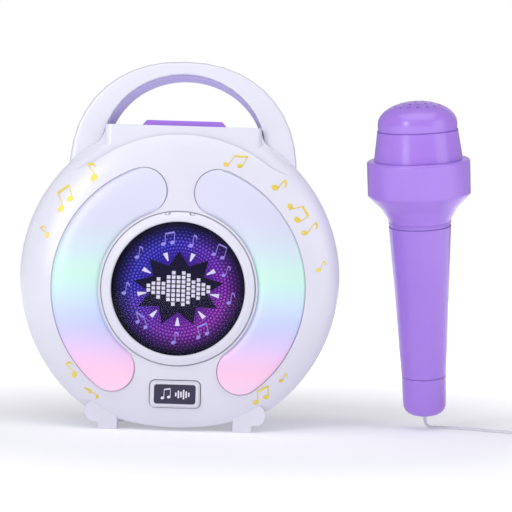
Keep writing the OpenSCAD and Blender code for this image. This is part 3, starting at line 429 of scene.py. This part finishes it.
# painted shade: a violet sheet stands for the shade on the handle's inner wall
violet_painted_shade = moulded_abs("painted_shade_violet", "#C3B6F0", "#BBAEEA", 0.5, coat=0.0)
handle_shade_sheet = closed_piece("handle_underside_painted_shade", shade_sheet_points, rod_faces(shade_sheet_steps + 1), violet_painted_shade,
                      "case")
handle_shade_sheet.data.polygons.foreach_set("use_smooth", [True] * len(handle_shade_sheet.data.polygons))
handle_shade_sheet.data.set_sharp_from_angle(angle=shade_sheet_crease)

# Gold notes
# Hot-foil music notes stamped round the edge of the dome: single quavers and beamed pairs,
# about a tenth of a millimetre proud, with the foil's soft yellow shine.

FRONT_DEPTH, FRONT_SIDE, FLAT_R = 33.0, 16.0, 62.0


def dome_depth(x, z):
    """How far the front of the case stands forward at x across and z above the table."""
    rim_share = 0.99
    out = max(math.hypot(x, z - CASE_CZ) - FLAT_R, 0) / (CASE_R - FLAT_R)
    return FRONT_SIDE + (FRONT_DEPTH - FRONT_SIDE) * math.sqrt(1 - min(out, rim_share) ** 2)


def on_dome(x, z, lift):
    """The point on the front of the case at x across from its middle and z above the table."""
    return Vector((MACHINE_X + x, -dome_depth(x, z) - lift, z)) * MM


def stroke(points, faces, path, widths, put):
    """One brush stroke: a ribbon along a path whose width changes, laid down by put(x, z)."""
    first = len(points)
    for i, (here, width) in enumerate(zip(path, widths)):
        before, after = path[max(i - 1, 0)], path[min(i + 1, len(path) - 1)]
        along = Vector((after[0] - before[0], after[1] - before[1])).normalized()
        for half in (-width / 2, width / 2):
            points.append(put(here[0] - half * along.y, here[1] + half * along.x))
        if i:
            k = first + 2 * i
            faces.append((k - 2, k - 1, k + 1, k))


def between(a, b, steps, bow=0.0):
    """Points from a to b, bowed to the left by a share of the distance."""
    dx, dz = b[0] - a[0], b[1] - a[1]
    way = []
    for i in range(steps + 1):
        t, off = i / steps, bow * math.sin(math.pi * i / steps)
        way.append((a[0] + dx * t - dz * off, a[1] + dz * t + dx * off))
    return way


def note(points, faces, heads, tops, size, put):
    """A quaver or a beamed pair: oval heads, a stem from each to its top, then a flag or a beam.
    The size is about half a head's width, in millimetres."""
    sides, steps = 18, 8
    head_long, head_short, head_turn = 1.12 * size, 0.84 * size, math.radians(62)
    stem_w, stem_side, beam_w = 0.3 * size, 0.85 * size, 0.75 * size
    flag_down, flag_out, flag_bow, flag_w, flag_taper = 1.5, 1.7, 0.3, 0.9, 0.65
    for (hx, hz), (tx, tz) in zip(heads, tops):
        lean = math.atan2(tz - hz, tx - hx)
        tilt = lean - head_turn
        centre = len(points)
        points.append(put(hx, hz))
        for k in range(sides):
            a = 2 * math.pi * k / sides
            u, v = head_long * math.cos(a), head_short * math.sin(a)
            points.append(put(hx + u * math.cos(tilt) - v * math.sin(tilt),
                              hz + u * math.sin(tilt) + v * math.cos(tilt)))
        faces.extend((centre, centre + 1 + k, centre + 1 + (k + 1) % sides) for k in range(sides))
        foot = (hx + stem_side * math.sin(lean), hz - stem_side * math.cos(lean))
        stroke(points, faces, between(foot, (tx, tz), steps), [stem_w] * (steps + 1), put)
    if len(tops) == 2:
        stroke(points, faces, between(tops[0], tops[1], steps), [beam_w] * (steps + 1), put)
    else:
        (hx, hz), (tx, tz) = heads[0], tops[0]
        back = Vector((hx - tx, hz - tz)).normalized()
        side = Vector((-back.y, back.x))
        end = Vector((tx, tz)) + size * (flag_down * back + flag_out * side)
        stroke(points, faces, between((tx, tz), tuple(end), steps, flag_bow),
               [size * (flag_w - flag_taper * i / steps) for i in range(steps + 1)], put)


def printed(name, points, faces, material, body, thick_mm):
    """Flat print made a thin closed layer that stands out of the surface towards the viewer."""
    mesh = mesh_of(name, points, faces)
    sheet = bmesh.new()
    sheet.from_mesh(mesh)
    for face in sheet.faces:
        face.normal_update()
        if face.normal.y > 0:
            face.normal_flip()
    sheet.to_mesh(mesh)
    sheet.free()
    piece = new_piece(name, mesh, material)
    layer = piece.modifiers.new("thickness", "SOLIDIFY")
    layer.thickness = thick_mm * MM
    layer.offset = 1.0
    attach(piece, body)


# Gold hot foil: a yellow metal film over plastic, satin, with pale thin patches
foil, foil_tree = start_material("gold_foil")
foil_place = add(foil_tree, "ShaderNodeTexCoord").outputs["Object"]
foil_patch = add(foil_tree, "ShaderNodeTexNoise", {
    "Vector": foil_place, "Scale": 260.0, "Detail": 2.0})
foil_tone = add(foil_tree, "ShaderNodeMix", {
    "Factor": foil_patch.outputs["Fac"], "A": linear("#D9B52E"), "B": linear("#F2E878")},
    data_type="RGBA")
end_material(foil, add(foil_tree, "ShaderNodeBsdfPrincipled", {
    "Base Color": foil_tone.outputs["Result"], "Metallic": 0.4, "Roughness": 0.5}))

gold_notes = [
    ([(-50.6, 145.8)], [(-54.6, 153.0)], 2.1),
    ([(-64.2, 133.2), (-69.3, 127.2)], [(-65.4, 141.2), (-71.6, 136.4)], 1.9),
    ([(-77.0, 111.8)], [(-81.2, 115.4)], 1.5),
    ([(33.6, 155.0), (25.6, 155.6)], [(38.2, 160.4), (30.6, 160.8)], 1.5),
    ([(54.4, 143.1)], [(59.6, 147.8)], 1.9),
    ([(63.5, 132.3), (67.8, 124.9)], [(70.6, 132.8), (74.4, 127.0)], 1.8),
    ([(72.1, 117.4)], [(78.3, 123.6)], 1.7),
    ([(80.9, 96.1)], [(83.6, 101.2)], 1.3),
    ([(-58.9, 31.3)], [(-63.9, 37.0)], 1.8),
    ([(-49.4, 21.6), (-45.4, 18.8)], [(-53.0, 24.0), (-49.6, 21.8)], 1.2),
    ([(47.0, 18.2), (52.8, 21.3)], [(47.6, 24.6), (53.8, 28.0)], 1.6),
    ([(61.2, 31.2)], [(63.2, 35.4)], 1.2),
]
note_points, note_faces = [], []
foil_lift, foil_mm = 0.03, 0.12
for heads, tops, size in gold_notes:
    note(note_points, note_faces, heads, tops, size, lambda x, z: on_dome(x, z, foil_lift))
printed("gold_notes", note_points, note_faces, foil, "case", foil_mm)

# Light panels
# Two crescent covers of frosted polycarbonate in the dome, lit from behind by coloured diodes,
# so that the milky plastic glows from lavender white through mint and blue to pink.

GLOW = ((22, "#EFCBE6"), (36, "#F0C2E2"), (48, "#DCC3EC"), (60, "#C3C5F0"), (73, "#C3D5EC"),
        (89, "#C0E6DC"), (104, "#C5D9E0"), (120, "#CACDE0"), (152, "#CECFE2"))
# Frosted polycarbonate: milky, softly glossy, the light's colour held in its thickness
frosted, frosted_tree = start_material("frosted_polycarbonate")
glow_low, glow_high = GLOW[0][0], GLOW[-1][0]
frosted_place = add(frosted_tree, "ShaderNodeTexCoord").outputs["Object"]
height = add(frosted_tree, "ShaderNodeSeparateXYZ", {0: frosted_place}).outputs["Z"]
share = add(frosted_tree, "ShaderNodeMapRange", {
    "Value": height, "From Min": glow_low * MM, "From Max": glow_high * MM})
glow = add(frosted_tree, "ShaderNodeValToRGB", {"Fac": share.outputs["Result"]})
ramp = glow.color_ramp
ramp.interpolation = "CARDINAL"
ramp.elements[0].color, ramp.elements[1].color = linear(GLOW[0][1]), linear(GLOW[-1][1])
for at, tint in GLOW[1:-1]:
    ramp.elements.new((at - glow_low) / (glow_high - glow_low)).color = linear(tint)
frost_grain = add(frosted_tree, "ShaderNodeTexNoise", {
    "Vector": frosted_place, "Scale": 900.0, "Detail": 2.0})
frost_bump = add(frosted_tree, "ShaderNodeBump", {
    "Height": frost_grain.outputs["Fac"], "Strength": 0.08, "Distance": 0.03 * MM})
end_material(frosted, add(frosted_tree, "ShaderNodeBsdfPrincipled", {
    "Base Color": glow.outputs["Color"], "Roughness": 0.33, "IOR": 1.58,
    "Emission Color": glow.outputs["Color"], "Emission Strength": 0.06,
    "Normal": frost_bump.outputs["Normal"]}))
for side in ("left", "right"):
    moulding(f"{side}_light_panel", f"{side}_glow_panel", "case", frosted)

# The panels and the disc door share one middle, a little below the dome's
door_down = 6.0
DOOR_Z = CASE_CZ - door_down
PANEL_R, PANEL_HALF, PANEL_FROM, PANEL_TO = 60.0, 13.3, 21.0, 141.5


def crescent(wider, side, steps=48):
    """The outline of a light panel, some millimetres wider all round, as x and z in order."""
    half, out, end_steps = PANEL_HALF + wider, [], 16
    turns = [math.radians(PANEL_FROM + (PANEL_TO - PANEL_FROM) * k / steps)
             for k in range(steps + 1)]
    out.extend(((PANEL_R + half) * math.sin(a), (PANEL_R + half) * math.cos(a)) for a in turns)
    for end, sweep_from in ((PANEL_TO, 0), (PANEL_FROM, 180)):
        a = math.radians(end)
        cx, cz = PANEL_R * math.sin(a), PANEL_R * math.cos(a)
        for k in range(1, end_steps):
            b = a + math.radians(sweep_from + 180 * k / end_steps)
            out.append((cx + half * math.sin(b), cz + half * math.cos(b)))
        if end == PANEL_TO:
            out.extend(((PANEL_R - half) * math.sin(c), (PANEL_R - half) * math.cos(c))
                       for c in reversed(turns))
    return [(side * x, DOOR_Z + z) for x, z in out]


def band_faces(sides):
    """The faces of a closed band made of four rings with as many sides each."""
    return [(sides * r + k, sides * r + (k + 1) % sides, sides * ((r + 1) % 4) + (k + 1) % sides,
             sides * ((r + 1) % 4) + k) for r in range(4) for k in range(sides)]


def lip(name, near, far, top, bottom, material, body):
    """A narrow band moulded round a piece, between two outlines, which centres it in its hole."""
    points = [Vector((MACHINE_X + x, -top(x, z), z)) * MM for x, z in near]
    points += [Vector((MACHINE_X + x, -top(x, z), z)) * MM for x, z in far]
    points += [Vector((MACHINE_X + x, -bottom, z)) * MM for x, z in far]
    points += [Vector((MACHINE_X + x, -bottom, z)) * MM for x, z in near]
    closed_piece(name, points, band_faces(len(near)), material, body)


LIP_TUCK, PANEL_LIP_W, PANEL_LIP_SUNK, PANEL_LIP_TOP, PANEL_LIP_LOW = 0.05, 0.34, 0.45, 32.2, 30.4
for side_name, side in (("left", -1), ("right", 1)):
    lip(f"{side_name}_panel_lip", crescent(-LIP_TUCK, side), crescent(PANEL_LIP_W, side),
        lambda x, z: min(dome_depth(x, z) - PANEL_LIP_SUNK, PANEL_LIP_TOP), PANEL_LIP_LOW,
        frosted, "case")

# Disc door
# A bevelled ABS ring hinged at the top, holding a window of clear polycarbonate over the disc.
# A narrow lip of the case shows in the gap round the ring.

moulding("door_ring", "door_bezel", "door", white_abs, crease_degrees=24)

RING_R, RING_LIP_R, RING_LIP_TOP, RING_LIP_LOW = 44.3, 44.7, 32.5, 31.0


def circle(radius, sides=144):
    """A circle round the door's middle, as x and z in order."""
    turns = [2 * math.pi * k / sides for k in range(sides)]
    return [(radius * math.cos(a), DOOR_Z + radius * math.sin(a)) for a in turns]


lip("bezel_lip", circle(RING_R - LIP_TUCK), circle(RING_LIP_R), lambda x, z: RING_LIP_TOP,
    RING_LIP_LOW, white_abs, "case")

# Clear polycarbonate, moulded and polished: colourless, with sharp reflections. Its index is
# kept far below the plastic's own, so that the pale floor doesn't veil the print behind it.
clear, clear_tree = start_material("clear_polycarbonate")
clear_place = add(clear_tree, "ShaderNodeTexCoord").outputs["Object"]
clear_smear = add(clear_tree, "ShaderNodeTexNoise", {
    "Vector": clear_place, "Scale": 70.0, "Detail": 3.0})
clear_gloss = add(clear_tree, "ShaderNodeMapRange", {
    "Value": clear_smear.outputs["Fac"], "To Min": 0.0, "To Max": 0.012})
end_material(clear, add(clear_tree, "ShaderNodeBsdfPrincipled", {
    "Base Color": linear("#FDFDFF"), "Roughness": clear_gloss.outputs["Result"], "IOR": 1.12,
    "Specular IOR Level": 0.08, "Transmission Weight": 1.0}))
moulding("door_lens", "door_window", "door", clear)

# Picture disc
# A small moulded disc with a printed face: dark ink, rings of halftone dots that shade from
# blue to magenta, a white level display on a dark burst, short wedges and a ring of lilac notes.

DISC_FRONT, DISC_R = 29.2, 40.0
PRINT_GAP, INK_MM = 0.01, 0.03


def on_disc(x, z):
    """The point on the disc's printed face at x across and z above its middle."""
    return Vector((MACHINE_X + x, -DISC_FRONT - PRINT_GAP, DOOR_Z + z)) * MM


def disc_ink(name, inner, outer, rim):
    """Screen-printed ink on styrene: satin, and shaded across the disc from blue to magenta."""
    blue_at, magenta_at, fade_from, fade_to = -0.7, 0.9, 0.62, 0.93
    made, tree = start_material(name)
    place = add(tree, "ShaderNodeTexCoord").outputs["Object"]
    centred = add(tree, "ShaderNodeMapping", {"Vector": place, "Location": (
        -MACHINE_X * MM, 0, -DOOR_Z * MM)})
    parts = add(tree, "ShaderNodeSeparateXYZ", {0: centred.outputs[0]})
    across = add(tree, "ShaderNodeMath", {0: parts.outputs["X"], 1: parts.outputs["Z"]},
                 operation="SUBTRACT")
    side = add(tree, "ShaderNodeMapRange", {
        "Value": across.outputs[0], "From Min": DISC_R * MM * blue_at,
        "From Max": DISC_R * MM * magenta_at})
    tint = add(tree, "ShaderNodeMix", {
        "Factor": side.outputs["Result"], "A": linear(inner), "B": linear(outer)},
        data_type="RGBA")
    flat = add(tree, "ShaderNodeCombineXYZ", {"X": parts.outputs["X"], "Z": parts.outputs["Z"]})
    radius = add(tree, "ShaderNodeVectorMath", {0: flat.outputs[0]}, operation="LENGTH")
    fade = add(tree, "ShaderNodeMapRange", {
        "Value": radius.outputs["Value"], "From Min": DISC_R * MM * fade_from,
        "From Max": DISC_R * MM * fade_to})
    shade = add(tree, "ShaderNodeMix", {
        "Factor": fade.outputs["Result"], "A": tint.outputs["Result"], "B": linear(rim)},
        data_type="RGBA")
    grain = add(tree, "ShaderNodeTexNoise", {"Vector": place, "Scale": 500.0})
    gloss = add(tree, "ShaderNodeMapRange", {
        "Value": grain.outputs["Fac"], "To Min": 0.46, "To Max": 0.54})
    return end_material(made, add(tree, "ShaderNodeBsdfPrincipled", {
        "Base Color": shade.outputs["Result"], "Roughness": gloss.outputs["Result"],
        "Specular IOR Level": 0.12}))


ground = disc_ink("disc_ground_ink", "#2A1F96", "#6A1F92", "#15112E")
dots_ink = disc_ink("disc_dot_ink", "#5E5CF0", "#C44CDA", "#3A3088")
moulding("music_disc", "picture_disc", "disc", ground)


def halftone(name, rings, per_ring, first_mm, pitch_mm, dot_mm, material):
    """Points and faces of rings of round dots, each ring set half a step further round, the dots
    largest in the middle rings."""
    dot_sides, full_at, full, per_step, least = 8, 0.42, 1.1, 0.16, 0.3
    tree = bpy.data.node_groups.new(name, "GeometryNodeTree")
    for title, kind in (("Rings", "Int"), ("Dots per ring", "Int"), ("First radius", "Float"),
                        ("Ring pitch", "Float"), ("Dot radius", "Float"), ("Centre", "Vector")):
        tree.interface.new_socket(name=title, in_out="INPUT", socket_type="NodeSocket" + kind)
    tree.interface.new_socket(name="Geometry", in_out="OUTPUT", socket_type="NodeSocketGeometry")
    given = add(tree, "NodeGroupInput").outputs

    def maths(operation, a, b=0.0):
        return add(tree, "ShaderNodeMath", {0: a, 1: b}, operation=operation).outputs[0]

    index = add(tree, "GeometryNodeInputIndex").outputs[0]
    ring = maths("FLOOR", maths("DIVIDE", index, given["Dots per ring"]))
    turn = maths("ADD", maths("DIVIDE", index, given["Dots per ring"]),
                 maths("MULTIPLY", ring, 0.5 / per_ring))
    angle = maths("MULTIPLY", turn, 2 * math.pi)
    radius = maths("ADD", given["First radius"], maths("MULTIPLY", ring, given["Ring pitch"]))
    place = add(tree, "ShaderNodeCombineXYZ", {
        "X": maths("MULTIPLY", radius, maths("COSINE", angle)),
        "Z": maths("MULTIPLY", radius, maths("SINE", angle))})
    moved = add(tree, "ShaderNodeVectorMath", {0: place.outputs[0], 1: given["Centre"]},
                operation="ADD")
    count = maths("MULTIPLY", given["Rings"], given["Dots per ring"])
    dots = add(tree, "GeometryNodePoints", {"Count": count, "Position": moved.outputs[0]})
    disc = add(tree, "GeometryNodeMeshCircle", {
        "Vertices": dot_sides, "Radius": given["Dot radius"]}, fill_type="NGON")
    full_ring = maths("MULTIPLY", given["Rings"], full_at)
    away = maths("ABSOLUTE", maths("SUBTRACT", ring, full_ring))
    shrink = maths("MAXIMUM", maths("SUBTRACT", full, maths("MULTIPLY", away, per_step)), least)
    set_out = add(tree, "GeometryNodeInstanceOnPoints", {
        "Points": dots.outputs[0], "Instance": disc.outputs[0], "Scale": shrink,
        "Rotation": (math.radians(90), 0, 0)})
    real = add(tree, "GeometryNodeRealizeInstances", {0: set_out.outputs[0]})
    inked = add(tree, "GeometryNodeSetMaterial", {0: real.outputs[0], "Material": material})
    add(tree, "NodeGroupOutput", {0: inked.outputs[0]})
    piece = new_piece(name, bpy.data.meshes.new(name), material)
    grow = piece.modifiers.new("dots", "NODES")
    grow.node_group = tree
    values = (rings, per_ring, first_mm * MM, pitch_mm * MM, dot_mm * MM, on_disc(0, 0))
    for item, value in zip([i for i in tree.interface.items_tree if i.in_out == "INPUT"], values):
        grow[item.identifier] = value
    mesh = apply_modifiers(piece)
    points = [v.co.copy() for v in mesh.vertices]
    faces = [tuple(f.vertices) for f in mesh.polygons]
    bpy.data.objects.remove(piece)
    return points, faces


dot_points, dot_faces = halftone("halftone_dots", rings=10, per_ring=84, first_mm=19.6,
                                 pitch_mm=1.95, dot_mm=0.66, material=dots_ink)
printed("disc_halftone", dot_points, dot_faces, dots_ink, "disc", INK_MM)


def plain_ink(name, tint):
    """Opaque screen ink: dense, satin, a touch uneven where the squeegee ran."""
    made, tree = start_material(name)
    place = add(tree, "ShaderNodeTexCoord").outputs["Object"]
    pull = add(tree, "ShaderNodeTexNoise", {"Vector": place, "Scale": 120.0, "Detail": 2.0})
    gloss = add(tree, "ShaderNodeMapRange", {
        "Value": pull.outputs["Fac"], "To Min": 0.44, "To Max": 0.56})
    return end_material(made, add(tree, "ShaderNodeBsdfPrincipled", {
        "Base Color": linear(tint), "Roughness": gloss.outputs["Result"],
        "Specular IOR Level": 0.12}))


black_ink = plain_ink("black_ink", "#151030")
white_ink = plain_ink("white_ink", "#E8E4F4")
lilac_ink = plain_ink("lilac_ink", "#A79AF0")


def bar(points, faces, x, z, w, h, put):
    """A rectangle w wide and h tall round x and z, laid down by put(x, z)."""
    corners = ((-w / 2, -h / 2), (w / 2, -h / 2), (w / 2, h / 2), (-w / 2, h / 2))
    first = len(points)
    points.extend(put(x + u, z + v) for u, v in corners)
    faces.append(tuple(range(first, first + 4)))


# Each later colour is printed over the one before it
BURST_LIFT, TOP_LIFT = 0.04, 0.08


def on_burst(x, z):
    """The point where the dark burst is printed."""
    return on_disc(x, z) - Vector((0, BURST_LIFT * MM, 0))


def on_top(x, z):
    """The point where the last, white and lilac layers are printed."""
    return on_disc(x, z) - Vector((0, TOP_LIFT * MM, 0))


# A dark pointed burst behind the level display, wider than it is tall
spikes, spike_out, spike_in, burst_wide, burst_tall = 9, 25.5, 16.0, 1.05, 0.86
star_points = []
for k in range(2 * spikes):
    reach = spike_out if k % 2 == 0 else spike_in
    a = math.pi * (k + 0.5) / spikes
    star_points.append(on_burst(reach * burst_wide * math.cos(a), reach * burst_tall * math.sin(a)))
star_points.append(on_burst(0, 0))
star_faces = [(2 * spikes, k, (k + 1) % (2 * spikes)) for k in range(2 * spikes)]
printed("disc_burst", star_points, star_faces, black_ink, "disc", INK_MM)

level_rows = (2, 3, 5, 3, 6, 8, 6, 8, 7, 4, 5, 3, 2)
column_pitch, row_pitch, cell_w, cell_h = 2.9, 2.6, 2.1, 2.0
level_points, level_faces = [], []
for k, rows in enumerate(level_rows):
    x = (k - (len(level_rows) - 1) / 2) * column_pitch
    for row in range(rows):
        z = (row - (rows - 1) / 2) * row_pitch
        bar(level_points, level_faces, x, z, cell_w, cell_h, on_top)
printed("disc_level_display", level_points, level_faces, white_ink, "disc", INK_MM)

wedge_near, wedge_far, near_spread, far_spread, wedge_wide, wedge_tall = (
    18.4, 23.6, 1.02, 3.4, 1.02, 0.92)
wedge_points, wedge_faces = [], []
for k in range(spikes):
    a = 360 * (k + 0.75) / spikes
    first = len(wedge_points)
    for r, degrees in ((wedge_near, a - near_spread), (wedge_far, a - far_spread),
                       (wedge_far, a + far_spread), (wedge_near, a + near_spread)):
        t = math.radians(degrees)
        wedge_points.append(on_top(wedge_wide * r * math.cos(t), wedge_tall * r * math.sin(t)))
    wedge_faces.append(tuple(range(first, first + 4)))
printed("disc_wedges", wedge_points, wedge_faces, white_ink, "disc", INK_MM)

disc_notes = [
    ([(-9.5, 25.5), (-4.2, 26.6)], [(-8.4, 31.5), (-3.1, 32.6)], 1.25),
    ([(6.5, 25.0)], [(8.2, 31.0)], 1.3),
    ([(-24.5, 17.5)], [(-23.0, 23.5)], 1.2),
    ([(20.0, 20.5), (25.0, 18.6)], [(22.6, 26.4), (27.4, 24.4)], 1.15),
    ([(-23.0, -20.0), (-18.4, -23.0)], [(-24.0, -14.4), (-19.4, -17.4)], 1.15),
    ([(-2.0, -31.4)], [(-1.2, -25.6)], 1.3),
    ([(12.4, -28.0), (17.4, -25.6)], [(11.8, -22.0), (17.0, -19.8)], 1.2),
    ([(29.5, -7.5)], [(31.1, -1.8)], 1.2),
    ([(-31.5, -3.5)], [(-30.1, 2.4)], 1.2),
    ([(26.0, 8.4)], [(28.6, 13.6)], 1.1),
]
lilac_points, lilac_faces = [], []
for heads, tops, size in disc_notes:
    note(lilac_points, lilac_faces, heads, tops, size, on_top)
printed("disc_notes", lilac_points, lilac_faces, lilac_ink, "disc", INK_MM)

# Front button
# A rounded ABS frame that presses in, with a dark printed plate in its recess.

moulding("music_button", "front_button_frame", "front_button", white_abs)
plate_ink = moulded_abs("printed_plate", "#2A2148", "#1D1736", 0.3)
moulding("button_plate", "front_button_plate", "front_button", plate_ink)
button_down = 67.0
BUTTON_Z = CASE_CZ - button_down
plate_front = -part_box("button_plate")[0].y / MM


def on_plate(x, z):
    """The point on the plate's face at x across and z above its middle."""
    return Vector((MACHINE_X + x, -plate_front - PRINT_GAP, BUTTON_Z + z)) * MM


plate_points, plate_faces = [], []
note(plate_points, plate_faces, [(-7.0, -2.2), (-3.4, -1.6)], [(-6.2, 2.6), (-2.6, 3.2)], 0.95,
     on_plate)
first_bar, bar_pitch, bar_w = 0.6, 1.5, 0.85
for k, tall in enumerate((2.2, 4.4, 3.2, 5.4, 3.8, 2.4)):
    bar(plate_points, plate_faces, first_bar + k * bar_pitch, 0, bar_w, tall, on_plate)
printed("front_button_print", plate_points, plate_faces, white_ink, "front_button",
        INK_MM)

# Control panel
# The violet top panel with its five round keys, moulded in the colour of the microphone.

violet_abs = moulded_abs("violet_abs", "#B07FEA", "#A878E4", 0.3)
moulding("control_panel", "top_panel", "case", violet_abs)
for k in range(1, 6):
    moulding(f"key_{k}", f"top_key_{k}", f"key_{k}", white_abs)

# Back and inside
# The battery cover, switch and socket, screws, speaker, boards, motor and cells, each with the
# finish of the real part; most of them are behind the grille or inside the case.

def plain_part(name, tint, roughness, metallic=0.0, grain_mm=2.0, bump_mm=0.02):
    """A small part's finish: one colour with a faint grain of a real size."""
    made, tree = start_material(name)
    place = add(tree, "ShaderNodeTexCoord").outputs["Object"]
    uneven = 0.06
    grain = add(tree, "ShaderNodeTexNoise", {
        "Vector": place, "Scale": 1000 / grain_mm, "Detail": 3.0})
    gloss = add(tree, "ShaderNodeMapRange", {
        "Value": grain.outputs["Fac"], "To Min": roughness - uneven, "To Max": roughness + uneven})
    bump = add(tree, "ShaderNodeBump", {
        "Height": grain.outputs["Fac"], "Strength": 0.2, "Distance": bump_mm * MM})
    return end_material(made, add(tree, "ShaderNodeBsdfPrincipled", {
        "Base Color": linear(tint), "Metallic": metallic, "Roughness": gloss.outputs["Result"],
        "Normal": bump.outputs["Normal"]}))


steel = plain_part("zinc_plated_steel", "#C4C6CC", 0.28, metallic=1.0)
black_abs = plain_part("black_textured_abs", "#1E1E22", 0.55, grain_mm=0.8, bump_mm=0.05)
board = plain_part("solder_mask_board", "#1C6B42", 0.4)
diode = plain_part("white_diode", "#F4F1E6", 0.25)
cone_paper = plain_part("pressed_cone_paper", "#3A3742", 0.85, grain_mm=0.6, bump_mm=0.08)
sleeve = plain_part("cell_sleeve", "#4E8F68", 0.3)
nickel = plain_part("nickel_plated_brass", "#D9D2B8", 0.18, metallic=1.0)
moulding("battery_door", "battery_cover_panel", "battery_cover", white_abs)
moulding("case_screws", "case_screw_set", "case", steel)
moulding("mic_jack", "microphone_socket", "case", black_abs)
moulding("power_slider", "power_switch_knob", "switch", black_abs)
for cad_node, finish in {
        "disc_tray": white_abs, "turntable": black_abs, "motor_shaft": steel,
        "spindle_motor": steel, "door_pin": steel, "main_board": board,
        "left_led_board": board, "right_led_board": board, "panel_leds": diode,
        "key_board": board, "speaker_basket": black_abs, "speaker_cone": cone_paper,
        "speaker_magnet": steel, "battery_cells": sleeve, "battery_contacts": nickel,
        "switch_case": steel, "mic_capsule": steel, "cord_tie": white_abs}.items():
    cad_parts[cad_node].data.materials[0] = finish

# Microphone
# Gloss violet ABS in five mouldings: a domed crown with sound holes, two collars, the tapered
# grip and a rounded tail cap with the cord's gland in it.

microphone_abs = moulded_abs("microphone_violet_abs", "#A87EE2", "#9F75DA", 0.24,
                             texture_mm=6.0, coat=0.15)
for cad_node, name in (("mic_crown", "microphone_crown"),
                       ("mic_upper_collar", "microphone_upper_collar"),
                       ("mic_collar", "microphone_collar"), ("mic_grip", "microphone_grip"),
                       ("mic_tail_cap", "microphone_tail")):
    moulding(cad_node, name, "microphone", microphone_abs, crease_degrees=22)


def seam(name, at_height, radius, tall):
    """The shadow line where two mouldings of the microphone meet: a band a little proud of them."""
    proud, sunk = 0.1, -0.4
    axis = (up_the_microphone(1) - up_the_microphone(0)).normalized()
    across = Vector((1, 0, 0)).cross(axis).normalized()
    over = axis.cross(across)
    sides, points = 96, []
    for deep, along in ((proud, 0), (proud, tall), (sunk, tall), (sunk, 0)):
        for k in range(sides):
            a = 2 * math.pi * k / sides
            points.append((up_the_microphone(at_height + along)
                           + (radius + deep) * (math.cos(a) * across + math.sin(a) * over)) * MM)
    closed_piece(name, points, band_faces(sides), seam_violet, "microphone")


seam_violet = moulded_abs("seam_violet", "#7A4FBE", "#7248B6", 0.6, texture_mm=6.0, coat=0.0)
MIC_SEAMS = (("crown", 173.4, 23.75, 0.5), ("neck_top", 118.7, 18.5, 0.4),
             ("neck_low", 116.1, 18.45, 0.35), ("tail", 23.9, 13.35, 0.45))
for which, at_height, radius, tall in MIC_SEAMS:
    seam(f"microphone_{which}_seam", at_height, radius, tall)
moulding("cord_gland", "microphone_gland", "microphone", pvc)
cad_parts["plug_body"].data.materials[0] = pvc
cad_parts["plug_pin"].data.materials[0] = nickel
